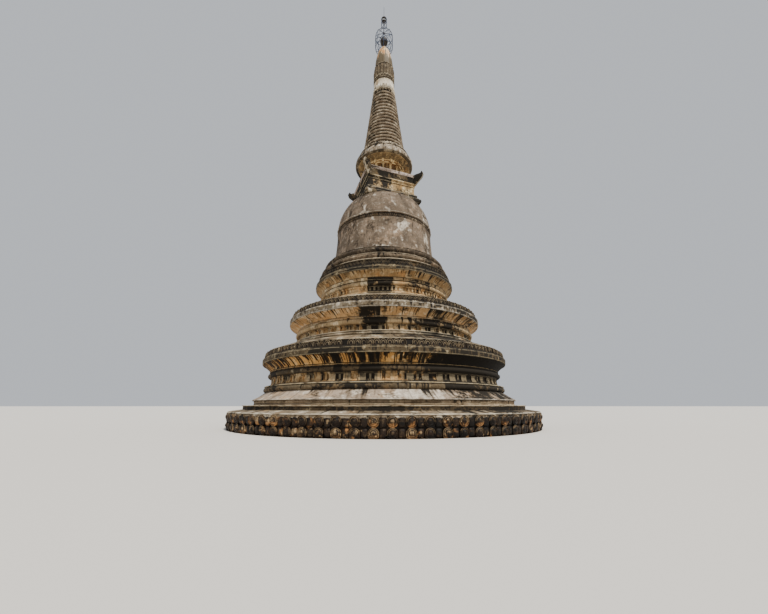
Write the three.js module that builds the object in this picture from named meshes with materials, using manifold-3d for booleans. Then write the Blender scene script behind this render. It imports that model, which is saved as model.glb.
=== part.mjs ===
// A round brick stupa: lotus plinth, three moulded tiers, bell, square throne, hooded
// colonnade, ringed spire, bud and wire umbrella. Millimetres, +Z up, origin at the
// centre of the ground circle, sides of the square throne along X and Y.
import * as THREE from 'three';
import { mergeVertices } from 'three/addons/utils/BufferGeometryUtils.js';
import Module from 'manifold-3d';

const wasm = await Module();
wasm.setup();

// Driving dimensions
const ROUND_SIDES = 48;
const SPIRE_SIDES = 24;
const METAL_SIDES = 12;
const SEAT_GAP = 0.3;

const plinth = { radius: 11980, courseHeight: 560, petals: 80, petalDepth: 110 };
const coping = { foot: 11850, head: 10950, height: 230 };
const step = { radius: 10900, height: 290 };
const riser = { radius: 10150, height: 300 };
const skirt = { foot: 10250, head: 9350, height: 630 };

const tierForm = {
  neckOverWall: 70, rollShare: 0.75, footBulge: 150, upperBulge: 120, wallFlare: 160,
  coveInset: 20, rimShare: 0.9, lotusLean: 150, roofInset: 200,
};
const lowerTier = {
  name: 'tier1', wall: 9000, footTorus: 9500, upperTorus: 9200, rim: 9620, lotus: 9500, nextFoot: 7400,
  footHeight: 470, friezeHeight: 580, torusHeight: 400, cavettoHeight: 580,
  fasciaHeight: 480, lotusHeight: 370, roofHeight: 650,
};
const middleTier = {
  name: 'tier2', wall: 7000, footTorus: 7400, upperTorus: 7200, rim: 7700, lotus: 7550, nextFoot: 5450,
  footHeight: 300, friezeHeight: 450, torusHeight: 450, cavettoHeight: 500,
  fasciaHeight: 500, lotusHeight: 350, roofHeight: 700,
};
const bellTier = {
  name: 'tier3', wall: 5150, ledge: 5450, upperTorus: 5320, rim: 5720, lotus: 5560,
  ledgeHeight: 250, ledgeEdge: 50, friezeHeight: 450, torusHeight: 550, cavettoHeight: 430,
  rimHeight: 390, lotusHeight: 500, neck: 5300, rollHeight: 350, rollBulge: 90, lotusLean: 160,
};
const bell = {
  lowerRing: 5300, lowerBulge: 160, upperRing: 5000, upperBulge: 180, foot: 4350, footEdge: 40,
  shoulder: 4240, shoulderHeight: 240, middle: 4110, middleHeight: 1250, waist: 3980, belt: 3950,
  lip: 4040, lipEdge: 80, crown: 3100, domeSteps: 7, domePower: 1.7, domeSwell: 0.88,
  lowerRingHeight: 540, upperRingHeight: 640, drumHeight: 2720, beltHeight: 360, domeHeight: 2170,
};
const throne = {
  baseHalf: 2450, bodyHalf: 2050, corniceHalf: 2220, baseSplay: 150, baseHead: 520, plate: 120,
  plateFoot: 640, baseHeight: 850, bodyHeight: 900, corniceHeight: 800, fasciaHeight: 300,
  fillet: 90, filletHeight: 120, coveSplay: 60, coveHeight: 330,
};
const cornerLeaf = {
  thickness: 460,
  levels: [-750, -500, -250, -80, 60, 200, 340],
  inner: [-400, -500, -600, -600, 40, 170, 280],
  outer: [-150, 100, 420, 500, 480, 420, 340],
};
const colonnade = { drum: 1500, columns: 16, columnRadius: 120, columnOut: 60, columnFacets: 4, height: 950 };
const ringBeam = { lower: 1700, lowerHead: 130, upper: 1800, upperFoot: 150, height: 300 };
const hood = {
  soffit: 1900, step: 2200, stepFoot: 100, rim: 2500, rimFoot: 210, rimHead: 600,
  shoulder: 2330, shoulderHeight: 860, neck: 2120, neckHeight: 1110, head: 1960, height: 1300,
};
const spire = {
  rings: 17, pitch: 332, foot: 1900, head: 1080, groove: 110, flare: 0.12, crestFoot: 0.3, crestHead: 0.75,
};
const crown = {
  pendant: 1060, pendantEdge: 60, pendantBelly: 120, pendantWaist: 420, pendantHeight: 750,
  waist: 880, waistSpread: 20, waistHollow: 30, waistHeight: 500,
  lotus: 960, lotusHead: 940, lotusBelly: 270, lotusHeight: 450,
};
const bud = {
  radii: [910, 950, 850, 780, 700, 540, 300, 60],
  levels: [0, 600, 1150, 1700, 2300, 2920, 3350, 3650],
};
const mast = {
  radius: 30, bowl: 350, bowlFoot: 80, bowlLower: 180, bowlLevel: 380, bowlUpper: 560, bowlHead: 700,
  bowlTaper: 0.75, height: 2350,
};
const ball = { radius: 275, seat: 40, bands: 6 };
const rod = { radius: 16, height: 1060 };
const cage = {
  reach: 790, bar: 40, ribs: 8, ribSteps: 10, seatBelowTip: 620, height: 1870, hoopLevels: [300, 1460],
  shares: [0.9, 1, 1, 1, 0.9, 0.5], levels: [110, 320, 850, 1380, 1660, 1800],
};

// Finishes
const finish = (name, color, roughness, metalness = 0) => (
  new THREE.MeshStandardMaterial({ name, color, roughness, metalness }));
const darkStone = finish('mould_black_stucco', 0x3b332b, 0.95);
const ochreStucco = finish('ochre_stucco', 0xb98d58, 0.9);
const limeStucco = finish('lime_stucco', 0xb9b0a2, 0.9);
const greyPlaster = finish('grey_brown_plaster', 0x7b6c5d, 0.92);
const goldBud = finish('faded_gilding', 0xc9a178, 0.7);
const iron = finish('painted_iron', 0x2f3a44, 0.6, 0.6);
const glass = finish('glass_ball', 0xb8c8d4, 0.1);

// Outlines: lists of [radius, height above the foot of the course], from foot to head
const straight = (foot, head, height) => [[foot, 0], [head, height]];

function halfRound(radius, bulge, height, steps = 4) {
  return Array.from({ length: steps + 1 }, (_, i) => {
    const turn = (Math.PI * i) / steps;
    return [radius - bulge + bulge * Math.sin(turn), Math.round((height / 2) * (1 - Math.cos(turn)))];
  });
}

function cove(foot, head, height, steps = 4) {
  return Array.from({ length: steps + 1 }, (_, i) => {
    const turn = (Math.PI / 2) * (i / steps);
    return [foot + (head - foot) * (1 - Math.cos(turn)), Math.round(height * Math.sin(turn))];
  });
}

// Solids
function turnedGeometry(outline, sides, startTurn = 0) {
  const lastHeight = outline[outline.length - 1][1];
  const closed = [[0, outline[0][1]], ...outline, [0, lastHeight]];
  const points = closed.map(([radius, height]) => new THREE.Vector2(radius, height));
  return new THREE.LatheGeometry(points, sides, startTurn).rotateX(Math.PI / 2);
}

const squareGeometry = (outline) => (
  turnedGeometry(outline.map(([half, height]) => [half * Math.SQRT2, height]), 4, Math.PI / 4));

function extrudedOutline(points, height) {
  const shape = new THREE.Shape(points);
  return new THREE.ExtrudeGeometry(shape, { depth: height, bevelEnabled: false });
}

function toSolid(geometry) {
  const bare = geometry.clone();
  bare.deleteAttribute('normal');
  bare.deleteAttribute('uv');
  const merged = mergeVertices(bare, 0.001);
  return new wasm.Manifold(new wasm.Mesh({
    numProp: 3,
    vertProperties: new Float32Array(merged.attributes.position.array),
    triVerts: new Uint32Array(merged.index.array),
  }));
}

function fromSolid(solid) {
  const mesh = solid.getMesh();
  const geometry = new THREE.BufferGeometry();
  geometry.setAttribute('position', new THREE.BufferAttribute(mesh.vertProperties, 3));
  geometry.setIndex(new THREE.BufferAttribute(mesh.triVerts, 1));
  geometry.computeVertexNormals();
  return geometry;
}

const joined = (geometries) => (
  fromSolid(geometries.map(toSolid).reduce((whole, piece) => whole.add(piece))));

// The courses stand one on another: each starts at the level that the last one reached
const stupa = new THREE.Group();
let level = 0;

function place(name, geometry, material, lift = level) {
  const mesh = new THREE.Mesh(geometry, material);
  mesh.name = name;
  mesh.position.z = lift;
  stupa.add(mesh);
}

function addCourse(name, outline, material, sides = ROUND_SIDES) {
  place(name, turnedGeometry(outline, sides), material);
  level += outline[outline.length - 1][1];
}

// Plinth: two courses of large petals
function petalOutline(radius, petals, depth, offset) {
  const pitch = (2 * Math.PI) / petals;
  const points = [];
  for (let i = 0; i < petals; i += 1) {
    const turn = (i + offset) * pitch;
    const groove = radius - depth;
    points.push([groove, turn], [radius, turn + 0.25 * pitch], [radius, turn + 0.75 * pitch]);
  }
  return points.map(([r, turn]) => new THREE.Vector2(r * Math.cos(turn), r * Math.sin(turn)));
}

function addPetalCourse(name, offset) {
  const outline = petalOutline(plinth.radius, plinth.petals, plinth.petalDepth, offset);
  place(name, extrudedOutline(outline, plinth.courseHeight), darkStone);
  level += plinth.courseHeight;
}

addPetalCourse('plinth_lower_lotus_course', -0.5);
addPetalCourse('plinth_upper_lotus_course', -0.5);
addCourse('plinth_coping', straight(coping.foot, coping.head, coping.height), limeStucco);
addCourse('base_step', straight(step.radius, step.radius, step.height), darkStone);
addCourse('base_riser', straight(riser.radius, riser.radius, riser.height), darkStone);
addCourse('sloping_skirt', straight(skirt.foot, skirt.head, skirt.height), limeStucco);

// A round tier: foot roll, frieze wall, upper roll, cove, fascia, petal row and sloping roof
function addTier(tier) {
  const neck = tier.wall + tierForm.neckOverWall;
  const rollHeight = tierForm.rollShare * tier.torusHeight;
  addCourse(`${tier.name}_foot_roll`,
    halfRound(tier.footTorus, tierForm.footBulge, tier.footHeight), greyPlaster);
  addCourse(`${tier.name}_frieze`, [
    [tier.wall + tierForm.wallFlare, 0], [tier.wall + 0.3 * tierForm.wallFlare, 0.2 * tier.friezeHeight],
    [tier.wall, 0.45 * tier.friezeHeight], [tier.wall, tier.friezeHeight],
  ], ochreStucco);
  addCourse(`${tier.name}_upper_roll`, [
    ...halfRound(tier.upperTorus, tierForm.upperBulge, rollHeight),
    [neck, rollHeight], [neck, tier.torusHeight],
  ], limeStucco);
  addCourse(`${tier.name}_cove`,
    cove(neck, tier.rim - tierForm.coveInset, tier.cavettoHeight), ochreStucco);
  addCourse(`${tier.name}_fascia`, [
    [tier.rim, 0], [tier.rim, tierForm.rimShare * tier.fasciaHeight], [tier.lotus, tier.fasciaHeight],
  ], limeStucco);
  addCourse(`${tier.name}_lotus_row`,
    straight(tier.lotus, tier.lotus - tierForm.lotusLean, tier.lotusHeight), darkStone);
  addCourse(`${tier.name}_roof`,
    straight(tier.lotus - tierForm.roofInset, tier.nextFoot, tier.roofHeight), limeStucco);
}

addTier(lowerTier);
addTier(middleTier);

// The tier under the bell has a ledge and a rim in place of the foot roll and the roof
const bellTierWallHeight = bellTier.ledgeHeight + bellTier.friezeHeight;
addCourse('tier3_frieze', [
  [bellTier.ledge, 0], [bellTier.ledge, bellTier.ledgeHeight - bellTier.ledgeEdge],
  [bellTier.wall, bellTier.ledgeHeight], [bellTier.wall, bellTierWallHeight],
], ochreStucco);
addCourse('tier3_upper_roll', [
  ...halfRound(bellTier.upperTorus, bellTier.rollBulge, bellTier.rollHeight),
  [bellTier.neck, bellTier.rollHeight], [bellTier.neck, bellTier.torusHeight],
], limeStucco);
addCourse('tier3_cove',
  cove(bellTier.neck, bellTier.rim - tierForm.coveInset, bellTier.cavettoHeight), ochreStucco);
addCourse('tier3_rim', [
  [bellTier.rim, 0], [bellTier.rim, 0.8 * bellTier.rimHeight], [bellTier.lotus, bellTier.rimHeight],
], darkStone);
addCourse('tier3_lotus_row',
  straight(bellTier.lotus, bellTier.lotus - bellTier.lotusLean, bellTier.lotusHeight), darkStone);

// Bell: two rolls, a tall lower drum, a sunk belt and the dome with its lip
addCourse('bell_lower_roll', halfRound(bell.lowerRing, bell.lowerBulge, bell.lowerRingHeight), darkStone);
addCourse('bell_upper_roll', halfRound(bell.upperRing, bell.upperBulge, bell.upperRingHeight), darkStone);
addCourse('bell_drum', [
  [bell.foot + bell.footEdge, 0], [bell.foot, 0.5 * bell.shoulderHeight],
  [bell.shoulder, bell.shoulderHeight], [bell.middle, bell.middleHeight], [bell.waist, bell.drumHeight],
], greyPlaster);
addCourse('bell_belt', straight(bell.belt, bell.belt, bell.beltHeight), darkStone);

function domeOutline() {
  const edge = bell.lip - bell.lipEdge;
  const outline = [[bell.lip, 0], [bell.lip, bell.lipEdge]];
  for (let i = 1; i <= bell.domeSteps; i += 1) {
    const share = i / bell.domeSteps;
    const swell = (1 - share ** bell.domePower) ** bell.domeSwell;
    const rise = bell.lipEdge + (bell.domeHeight - bell.lipEdge) * share;
    outline.push([bell.crown + (edge - bell.crown) * swell, rise]);
  }
  return outline;
}

addCourse('bell_dome', domeOutline(), greyPlaster);

// Square throne with upturned leaves at the cornice's corners
function addSquareCourse(name, outline, material) {
  place(name, squareGeometry(outline), material);
  level += outline[outline.length - 1][1];
}

function leafGeometry(turn) {
  const corner = throne.corniceHalf * Math.SQRT2;
  const at = (reach, i) => (
    new THREE.Vector2(corner + reach, throne.corniceHeight + cornerLeaf.levels[i]));
  const outside = cornerLeaf.outer.map(at);
  const inside = cornerLeaf.inner.map(at).reverse();
  const geometry = extrudedOutline([...outside, ...inside], cornerLeaf.thickness);
  return geometry.translate(0, 0, -cornerLeaf.thickness / 2).rotateX(Math.PI / 2).rotateZ(turn);
}

addSquareCourse('throne_base', [
  [throne.bodyHalf + throne.baseSplay, 0], [throne.baseHalf, throne.baseSplay],
  [throne.baseHalf, throne.baseHead], [throne.bodyHalf + throne.plate, throne.plateFoot],
  [throne.bodyHalf + throne.plate, throne.baseHeight],
], greyPlaster);
addSquareCourse('throne_body', straight(throne.bodyHalf, throne.bodyHalf, throne.bodyHeight), limeStucco);
const corniceGeometry = squareGeometry([
  [throne.bodyHalf + throne.fillet, 0], [throne.bodyHalf + throne.fillet, throne.filletHeight],
  [throne.bodyHalf, throne.filletHeight + 0.5 * throne.coveSplay],
  [throne.bodyHalf + throne.coveSplay, throne.coveHeight],
  [throne.corniceHalf, throne.corniceHeight - throne.fasciaHeight],
  [throne.corniceHalf, throne.corniceHeight],
]);
const leafTurns = [1, 3, 5, 7].map((eighth) => (eighth * Math.PI) / 4);
place('throne_cornice', joined([corniceGeometry, ...leafTurns.map(leafGeometry)]), greyPlaster);
level += throne.corniceHeight;

// Colonnade: a drum with engaged round columns, under a ring beam and the overhanging hood
function colonnadeOutline() {
  const pitch = (2 * Math.PI) / colonnade.columns;
  const points = [];
  for (let i = 0; i < colonnade.columns; i += 1) {
    const turn = i * pitch;
    for (let j = 0; j <= colonnade.columnFacets; j += 1) {
      const around = (Math.PI * j) / colonnade.columnFacets - Math.PI / 2;
      const out = colonnade.drum + colonnade.columnOut + colonnade.columnRadius * Math.cos(around);
      const side = colonnade.columnRadius * Math.sin(around);
      points.push(new THREE.Vector2(
        out * Math.cos(turn) - side * Math.sin(turn), out * Math.sin(turn) + side * Math.cos(turn)));
    }
    const between = turn + pitch / 2;
    points.push(new THREE.Vector2(
      colonnade.drum * Math.cos(between), colonnade.drum * Math.sin(between)));
  }
  return points;
}

place('colonnade', extrudedOutline(colonnadeOutline(), colonnade.height), ochreStucco);
level += colonnade.height;
addCourse('ring_beam', [
  [ringBeam.lower, 0], [ringBeam.lower, ringBeam.lowerHead],
  [ringBeam.upper, ringBeam.upperFoot], [ringBeam.upper, ringBeam.height],
], ochreStucco);
addCourse('hood', [
  [hood.soffit, 0], [hood.soffit, hood.stepFoot], [hood.step, hood.stepFoot], [hood.step, hood.rimFoot],
  [hood.rim, hood.rimFoot], [hood.rim, hood.rimHead],
  [hood.shoulder, hood.shoulderHeight], [hood.neck, hood.neckHeight], [hood.head, hood.height],
], limeStucco);

// Spire: a tapering stack of rounded rings, each with a groove over it
function spireOutline() {
  const rise = spire.rings * spire.pitch;
  const outline = [];
  for (let i = 0; i < spire.rings; i += 1) {
    const foot = i * spire.pitch;
    const left = 1 - foot / rise;
    const taper = (1 - spire.flare) * left + spire.flare * left * left;
    const crest = spire.head + (spire.foot - spire.head) * taper;
    outline.push(
      [crest - spire.groove, foot], [crest, foot + spire.crestFoot * spire.pitch],
      [crest, foot + spire.crestHead * spire.pitch]);
  }
  outline.push([spire.head - spire.groove, rise]);
  return outline;
}

addCourse('spire_rings', spireOutline(), greyPlaster, SPIRE_SIDES);
addCourse('crown_pendant_lotus', [
  [crown.pendant - crown.pendantEdge, 0], [crown.pendant, crown.pendantBelly],
  [crown.pendant - 0.6 * crown.pendantEdge, crown.pendantWaist],
  [crown.waist + crown.waistSpread, crown.pendantHeight],
], darkStone, SPIRE_SIDES);
addCourse('crown_waist', [
  [crown.waist + crown.waistSpread, 0], [crown.waist - crown.waistHollow, 0.5 * crown.waistHeight],
  [crown.waist + crown.waistSpread, crown.waistHeight],
], limeStucco, SPIRE_SIDES);
addCourse('crown_upper_lotus', [
  [crown.waist + crown.waistHollow, 0], [crown.lotus, crown.lotusBelly], [crown.lotusHead, crown.lotusHeight],
], darkStone, SPIRE_SIDES);
const budOutline = bud.radii.map((radius, i) => [radius, bud.levels[i]]);
addCourse('bud', budOutline, goldBud, SPIRE_SIDES);

// Finial: mast with its bowl, glass ball and lightning rod
const tipLevel = level;
addCourse('finial_mast', [
  [mast.radius, 0], [mast.radius, mast.bowlFoot], [mast.bowlTaper * mast.bowl, mast.bowlLower],
  [mast.bowl, mast.bowlLevel], [mast.bowlTaper * mast.bowl, mast.bowlUpper],
  [mast.radius, mast.bowlHead], [mast.radius, mast.height],
], iron, METAL_SIDES);
const seatTurn = Math.asin(ball.seat / ball.radius);
const ballOutline = Array.from({ length: ball.bands + 1 }, (_, i) => {
  const turn = seatTurn + ((Math.PI - 2 * seatTurn) * i) / ball.bands;
  return [ball.radius * Math.sin(turn), ball.radius * (Math.cos(seatTurn) - Math.cos(turn))];
});
addCourse('finial_ball', ballOutline, glass, METAL_SIDES);
addCourse('lightning_rod', straight(rod.radius, rod.radius, rod.height), iron, METAL_SIDES);

// Umbrella cage: a seat ring round the bud, curved ribs, two hoops and a collar on the mast
function budRadiusBelowTip(drop) {
  const height = bud.levels[bud.levels.length - 1] - drop;
  const above = bud.levels.findIndex((reached) => reached >= height);
  const [headRadius, head] = budOutline[above];
  const [footRadius, foot] = budOutline[above - 1];
  return footRadius + ((headRadius - footRadius) * (height - foot)) / (head - foot);
}

function hoopGeometry(innerFoot, innerHead, foot, sides) {
  const { bar } = cage;
  const section = [
    [innerFoot + bar, foot], [innerHead + bar, foot + bar], [innerHead, foot + bar], [innerFoot, foot],
    [innerFoot + bar, foot],
  ];
  const points = section.map(([radius, height]) => new THREE.Vector2(radius, height));
  return new THREE.LatheGeometry(points, sides).rotateX(Math.PI / 2);
}

function cageGeometry() {
  const { bar, reach, height } = cage;
  const seatFoot = budRadiusBelowTip(cage.seatBelowTip) + SEAT_GAP;
  const seatHead = budRadiusBelowTip(cage.seatBelowTip - bar) + SEAT_GAP;
  const collar = mast.radius + SEAT_GAP;
  const route = new THREE.CatmullRomCurve3([
    [seatFoot + bar / 2, bar / 2], ...cage.shares.map((share, i) => [share * reach, cage.levels[i]]),
    [collar + bar / 2, height - bar / 2],
  ].map(([out, up]) => new THREE.Vector3(out, 0, up)));
  const section = new THREE.Shape([
    new THREE.Vector2(-bar / 2, -bar / 2), new THREE.Vector2(bar / 2, -bar / 2),
    new THREE.Vector2(bar / 2, bar / 2), new THREE.Vector2(-bar / 2, bar / 2),
  ]);
  const hoop = reach - bar / 2;
  const pieces = [
    hoopGeometry(seatFoot, seatHead, 0, SPIRE_SIDES),
    hoopGeometry(collar, collar, height - bar, METAL_SIDES),
    ...cage.hoopLevels.map((lift) => hoopGeometry(hoop, hoop, lift, SPIRE_SIDES)),
  ];
  const ribOptions = { extrudePath: route, steps: cage.ribSteps, bevelEnabled: false };
  for (let i = 0; i < cage.ribs; i += 1) {
    const rib = new THREE.ExtrudeGeometry(section, ribOptions);
    pieces.push(rib.rotateZ((2 * Math.PI * (i + 0.5)) / cage.ribs));
  }
  return joined(pieces);
}

place('umbrella_cage', cageGeometry(), iron, tipLevel - cage.seatBelowTip);

export default stupa;
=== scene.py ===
"""A weathered round brick stupa: lotus plinth, moulded tiers, bell, throne, spire and finial."""

from __future__ import annotations

import functools
import itertools
import logging
import math
from collections.abc import Callable, Mapping, Sequence
from dataclasses import dataclass, replace
from enum import Enum
from typing import Any

import bpy
import numpy as np
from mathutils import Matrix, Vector


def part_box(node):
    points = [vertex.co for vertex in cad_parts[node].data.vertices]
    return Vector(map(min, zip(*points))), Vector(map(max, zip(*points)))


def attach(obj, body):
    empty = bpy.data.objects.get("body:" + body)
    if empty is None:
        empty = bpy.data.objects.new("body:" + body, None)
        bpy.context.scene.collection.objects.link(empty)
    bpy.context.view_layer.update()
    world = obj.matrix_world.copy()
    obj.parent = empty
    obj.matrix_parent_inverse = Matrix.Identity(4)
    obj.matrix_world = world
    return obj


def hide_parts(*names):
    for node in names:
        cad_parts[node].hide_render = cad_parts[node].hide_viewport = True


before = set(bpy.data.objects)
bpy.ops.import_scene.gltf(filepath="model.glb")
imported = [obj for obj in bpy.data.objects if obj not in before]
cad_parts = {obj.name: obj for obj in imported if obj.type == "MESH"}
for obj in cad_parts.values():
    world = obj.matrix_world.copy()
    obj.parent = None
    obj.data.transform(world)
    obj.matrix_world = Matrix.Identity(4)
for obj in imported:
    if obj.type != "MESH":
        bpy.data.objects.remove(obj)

Colour = str
Pair = tuple[float, float]
Outline = list[Pair]
Point = tuple[float, float, float]
Routes = list[list[Point]]
Section = Callable[[float], list[Pair]]
Given = Mapping[str | int, Any] | None
Object = bpy.types.Object
Material = bpy.types.Material

BODY = "root"
CREST = "crest"
TINT = "tint"
SMOOTH_UP_TO = math.radians(38)
SIDE = 0.13
FEWEST_SIDES = 48
log = logging.getLogger("stupa")


# Node graphs


def linear(colour: Value | Colour) -> Value | tuple[float, ...]:
    """Turns an sRGB colour of six hexadecimal digits into linear light.

    Args:
        colour: the colour; a value stays as it is.

    Returns:
        Red, green, blue and full cover.
    """
    if isinstance(colour, Value):
        return colour
    return (*(((c / 255 + 0.055) / 1.055) ** 2.4 for c in bytes.fromhex(colour)), 1.0)


class Value:
    """A socket of a node graph, with the sums that expressions need."""

    def __init__(self, graph: Graph, socket: bpy.types.NodeSocket) -> None:
        """Keeps the graph and the socket."""
        self.graph = graph
        self.socket = socket

    def __add__(self, other: Value | float) -> Value:
        """Adds."""
        return self.graph.math("ADD", self, other)

    def __radd__(self, other: float) -> Value:
        """Adds from the right."""
        return self.graph.math("ADD", other, self)

    def __sub__(self, other: Value | float) -> Value:
        """Subtracts."""
        return self.graph.math("SUBTRACT", self, other)

    def __rsub__(self, other: float) -> Value:
        """Subtracts this from a number."""
        return self.graph.math("SUBTRACT", other, self)

    def __mul__(self, other: Value | float) -> Value:
        """Multiplies."""
        return self.graph.math("MULTIPLY", self, other)

    def __rmul__(self, other: float) -> Value:
        """Multiplies from the right."""
        return self.graph.math("MULTIPLY", other, self)

    def __truediv__(self, other: Value | float) -> Value:
        """Divides."""
        return self.graph.math("DIVIDE", self, other)


class Graph:
    """A shader or geometry node tree that is written as expressions."""

    def __init__(self, tree: bpy.types.NodeTree) -> None:
        """Keeps the tree."""
        self.tree = tree

    def node(self, kind: str, settings: Given = None, inputs: Given = None) -> bpy.types.Node:
        """Adds a node.

        Args:
            kind: the node's type.
            settings: its own settings.
            inputs: numbers, colours or values for its sockets, by name or place.

        Returns:
            The node.
        """
        made = self.tree.nodes.new(kind)
        for name, setting in (settings or {}).items():
            setattr(made, name, setting)
        for key, given in (inputs or {}).items():
            if isinstance(given, Value):
                self.tree.links.new(given.socket, made.inputs[key])
            else:
                made.inputs[key].default_value = given
        return made

    def made(
        self, kind: str, settings: Given = None, inputs: Given = None, output: str | int = 0
    ) -> Value:
        """Adds a node and gives one of its outputs."""
        return Value(self, self.node(kind, settings, inputs).outputs[output])

    def math(self, operation: str, first: Value | float, second: Value | float = 0.0) -> Value:
        """Adds a Math node for one operation on two numbers."""
        return self.made("ShaderNodeMath", {"operation": operation}, {0: first, 1: second})

    def most(self, *values: Value) -> Value:
        """Gives the largest of several numbers."""
        return functools.reduce(lambda one, other: self.math("MAXIMUM", one, other), values)

    def vector(
        self, operation: str, first: Value, second: Value | Point | float = (0.0, 0.0, 0.0)
    ) -> Value:
        """Adds a Vector Math node; to scale, the second is a number."""
        inputs = {0: first, "Scale" if operation == "SCALE" else 1: second}
        return self.made("ShaderNodeVectorMath", {"operation": operation}, inputs)

    def step(self, given: Value, edge: float, softness: float) -> Value:
        """Gives 0 below an edge and 1 above it, with a soft passage between them."""
        inputs = {"Value": given, "From Min": edge - softness, "From Max": edge + softness}
        return self.made("ShaderNodeMapRange", {"interpolation_type": "SMOOTHSTEP"}, inputs)

    def mix(self, first: Value | Colour, second: Value | Colour, share: Value | float) -> Value:
        """Mixes two colours; the share says how much of the second shows."""
        inputs = {0: share, 6: linear(first), 7: linear(second)}
        return self.made("ShaderNodeMix", {"data_type": "RGBA"}, inputs, 2)

    def noise(
        self, vector: Value, scale: Value | float, detail: float, seed: Value | float
    ) -> Value:
        """Gives a soft random pattern about 0.5; detail is how many finer layers it has."""
        inputs = {"Vector": vector, "W": seed, "Scale": scale, "Detail": detail}
        return self.made("ShaderNodeTexNoise", {"noise_dimensions": "4D"}, inputs)

    def split(self, vector: Value) -> tuple[Value, Value, Value]:
        """Takes a vector apart."""
        made = self.node("ShaderNodeSeparateXYZ", inputs={0: vector})
        return tuple(Value(self, made.outputs[place]) for place in range(3))


# Finishes


@dataclass(frozen=True)
class Zone:
    """A side of the building where something shows more, by its bearing in degrees."""

    bearing: float
    spread: float
    strength: float
    low: float = -1.0
    high: float = 2.0


@dataclass(frozen=True)
class Span:
    """Where a piece lies: its lowest and highest level and its radius, 0 if it is square."""

    foot: float
    head: float
    reach: float

    @property
    def height(self) -> float:
        """Gives how far its head lies over its foot."""
        return self.head - self.foot

    @property
    def middle(self) -> float:
        """Gives the level half-way up."""
        return (self.foot + self.head) / 2

    def up(self, share: float) -> float:
        """Gives the level at a share of the height."""
        return self.foot + share * self.height

    def low(self, *offsets: Pair) -> Outline:
        """Gives points of an outline by their place from the radius and the foot."""
        return placed(self.reach, self.foot, *offsets)

    def high(self, *offsets: Pair) -> Outline:
        """Gives points of an outline by their place from the radius and the head."""
        return placed(self.reach, self.head, *offsets)

    def upright(self, radius: float) -> Outline:
        """Gives an upright outline from foot to head."""
        return [(radius, self.foot), (radius, self.head)]


class Surface:
    """What a finish reads off a piece: place, height, direction, edges and tint."""

    def __init__(self, graph: Graph, span: Span) -> None:
        """Adds the nodes that read them.

        Args:
            graph: the material's graph.
            span: where the piece lies.
        """
        self.graph = graph
        self.here = graph.made("ShaderNodeTexCoord", output="Object")
        across, along, level = graph.split(self.here)
        self.rise = (level - span.foot) / max(span.height, 0.05)
        turned = graph.math("ARCTAN2", along, across) * span.reach
        self.girth = turned if span.reach > 0 else across + along
        flat = graph.vector("MULTIPLY", self.here, (1.0, 1.0, 0.0))
        self.upright = graph.vector("MULTIPLY", self.here, (0.0, 0.0, 1.0))
        self.outward = graph.vector("NORMALIZE", flat)
        self.around = graph.vector("SCALE", self.outward, span.reach) if span.reach > 0 else flat
        slope = graph.split(graph.made("ShaderNodeNewGeometry", output="True Normal"))[2]
        self.upward = graph.step(slope, 0.5, 0.3)
        # skyward marks the faces that look up, where top_lit keeps the painted highlight.
        self.skyward = graph.step(slope, 0.12, 0.3)
        self.crest = graph.made("ShaderNodeAttribute", {"attribute_name": CREST}, output="Fac")
        self.tint = graph.made("ShaderNodeAttribute", {"attribute_name": TINT}, output="Fac")

    def noise(self, size: float, detail: float, seed: float = 0.0) -> Value:
        """Gives a random pattern on the piece."""
        return self.graph.noise(self.here, 1 / size, detail, seed)

    def runs(self, width: float, stretch: float, seed: float, detail: float = 4.0) -> Value:
        """Gives a random pattern drawn out downwards.

        Args:
            width: the width of its largest runs in metres.
            stretch: the share of the height that counts; the less, the longer the runs.
            seed: picks another pattern.
            detail: how many finer layers it has.

        Returns:
            A number about 0.5.
        """
        down = self.graph.vector("SCALE", self.upright, stretch)
        place = self.graph.vector("ADD", self.around, down)
        return self.graph.noise(place, 1 / width, detail, seed)

    def strips(self, width: float, seed: float) -> tuple[Value, Value]:
        """Parts the piece into upright strips of uneven width.

        Args:
            width: their mean width in metres.
            seed: picks another set of strips.

        Returns:
            A random number for each strip, and how far a point is from a strip's middle.
        """
        graph = self.graph
        wander = (self.noise(0.12, 2.0, seed) - 0.5) * 0.06
        places = {"W": self.girth + wander + seed, "Scale": 1 / width}
        cells = graph.node("ShaderNodeTexVoronoi", {"voronoi_dimensions": "1D"}, places)
        cell = {"W": Value(graph, cells.outputs["W"])}
        drawn = graph.made("ShaderNodeTexWhiteNoise", {"noise_dimensions": "1D"}, cell)
        return drawn, Value(graph, cells.outputs[0])

    def zones(self, zones: Sequence[Zone]) -> Value | float:
        """Adds up zones.

        Args:
            zones: the zones.

        Returns:
            How strong they are together.
        """
        total: Value | float = 0.0
        kind, settings = "ShaderNodeVectorMath", {"operation": "DOT_PRODUCT"}
        for zone in zones:
            sides = {0: self.outward, 1: polar(1.0, math.radians(zone.bearing), 0.0)}
            near = self.graph.made(kind, settings, sides, "Value")
            inner, outer = (math.cos(math.radians(k * zone.spread)) for k in (0.6, 1.4))
            mask = self.graph.step(near, (inner + outer) / 2, (inner - outer) / 2)
            if zone.low > -1.0:
                mask = mask * self.graph.step(self.rise, zone.low, 0.08)
            if zone.high < 2.0:
                mask = mask * (1.0 - self.graph.step(self.rise, zone.high, 0.08))
            total = mask * zone.strength + total
        return total


def cut(share: float) -> float:
    """Gives the height at which a random pattern is cut so that a share of it stays."""
    return 0.5 + 0.32 * (0.5 - share)


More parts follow.
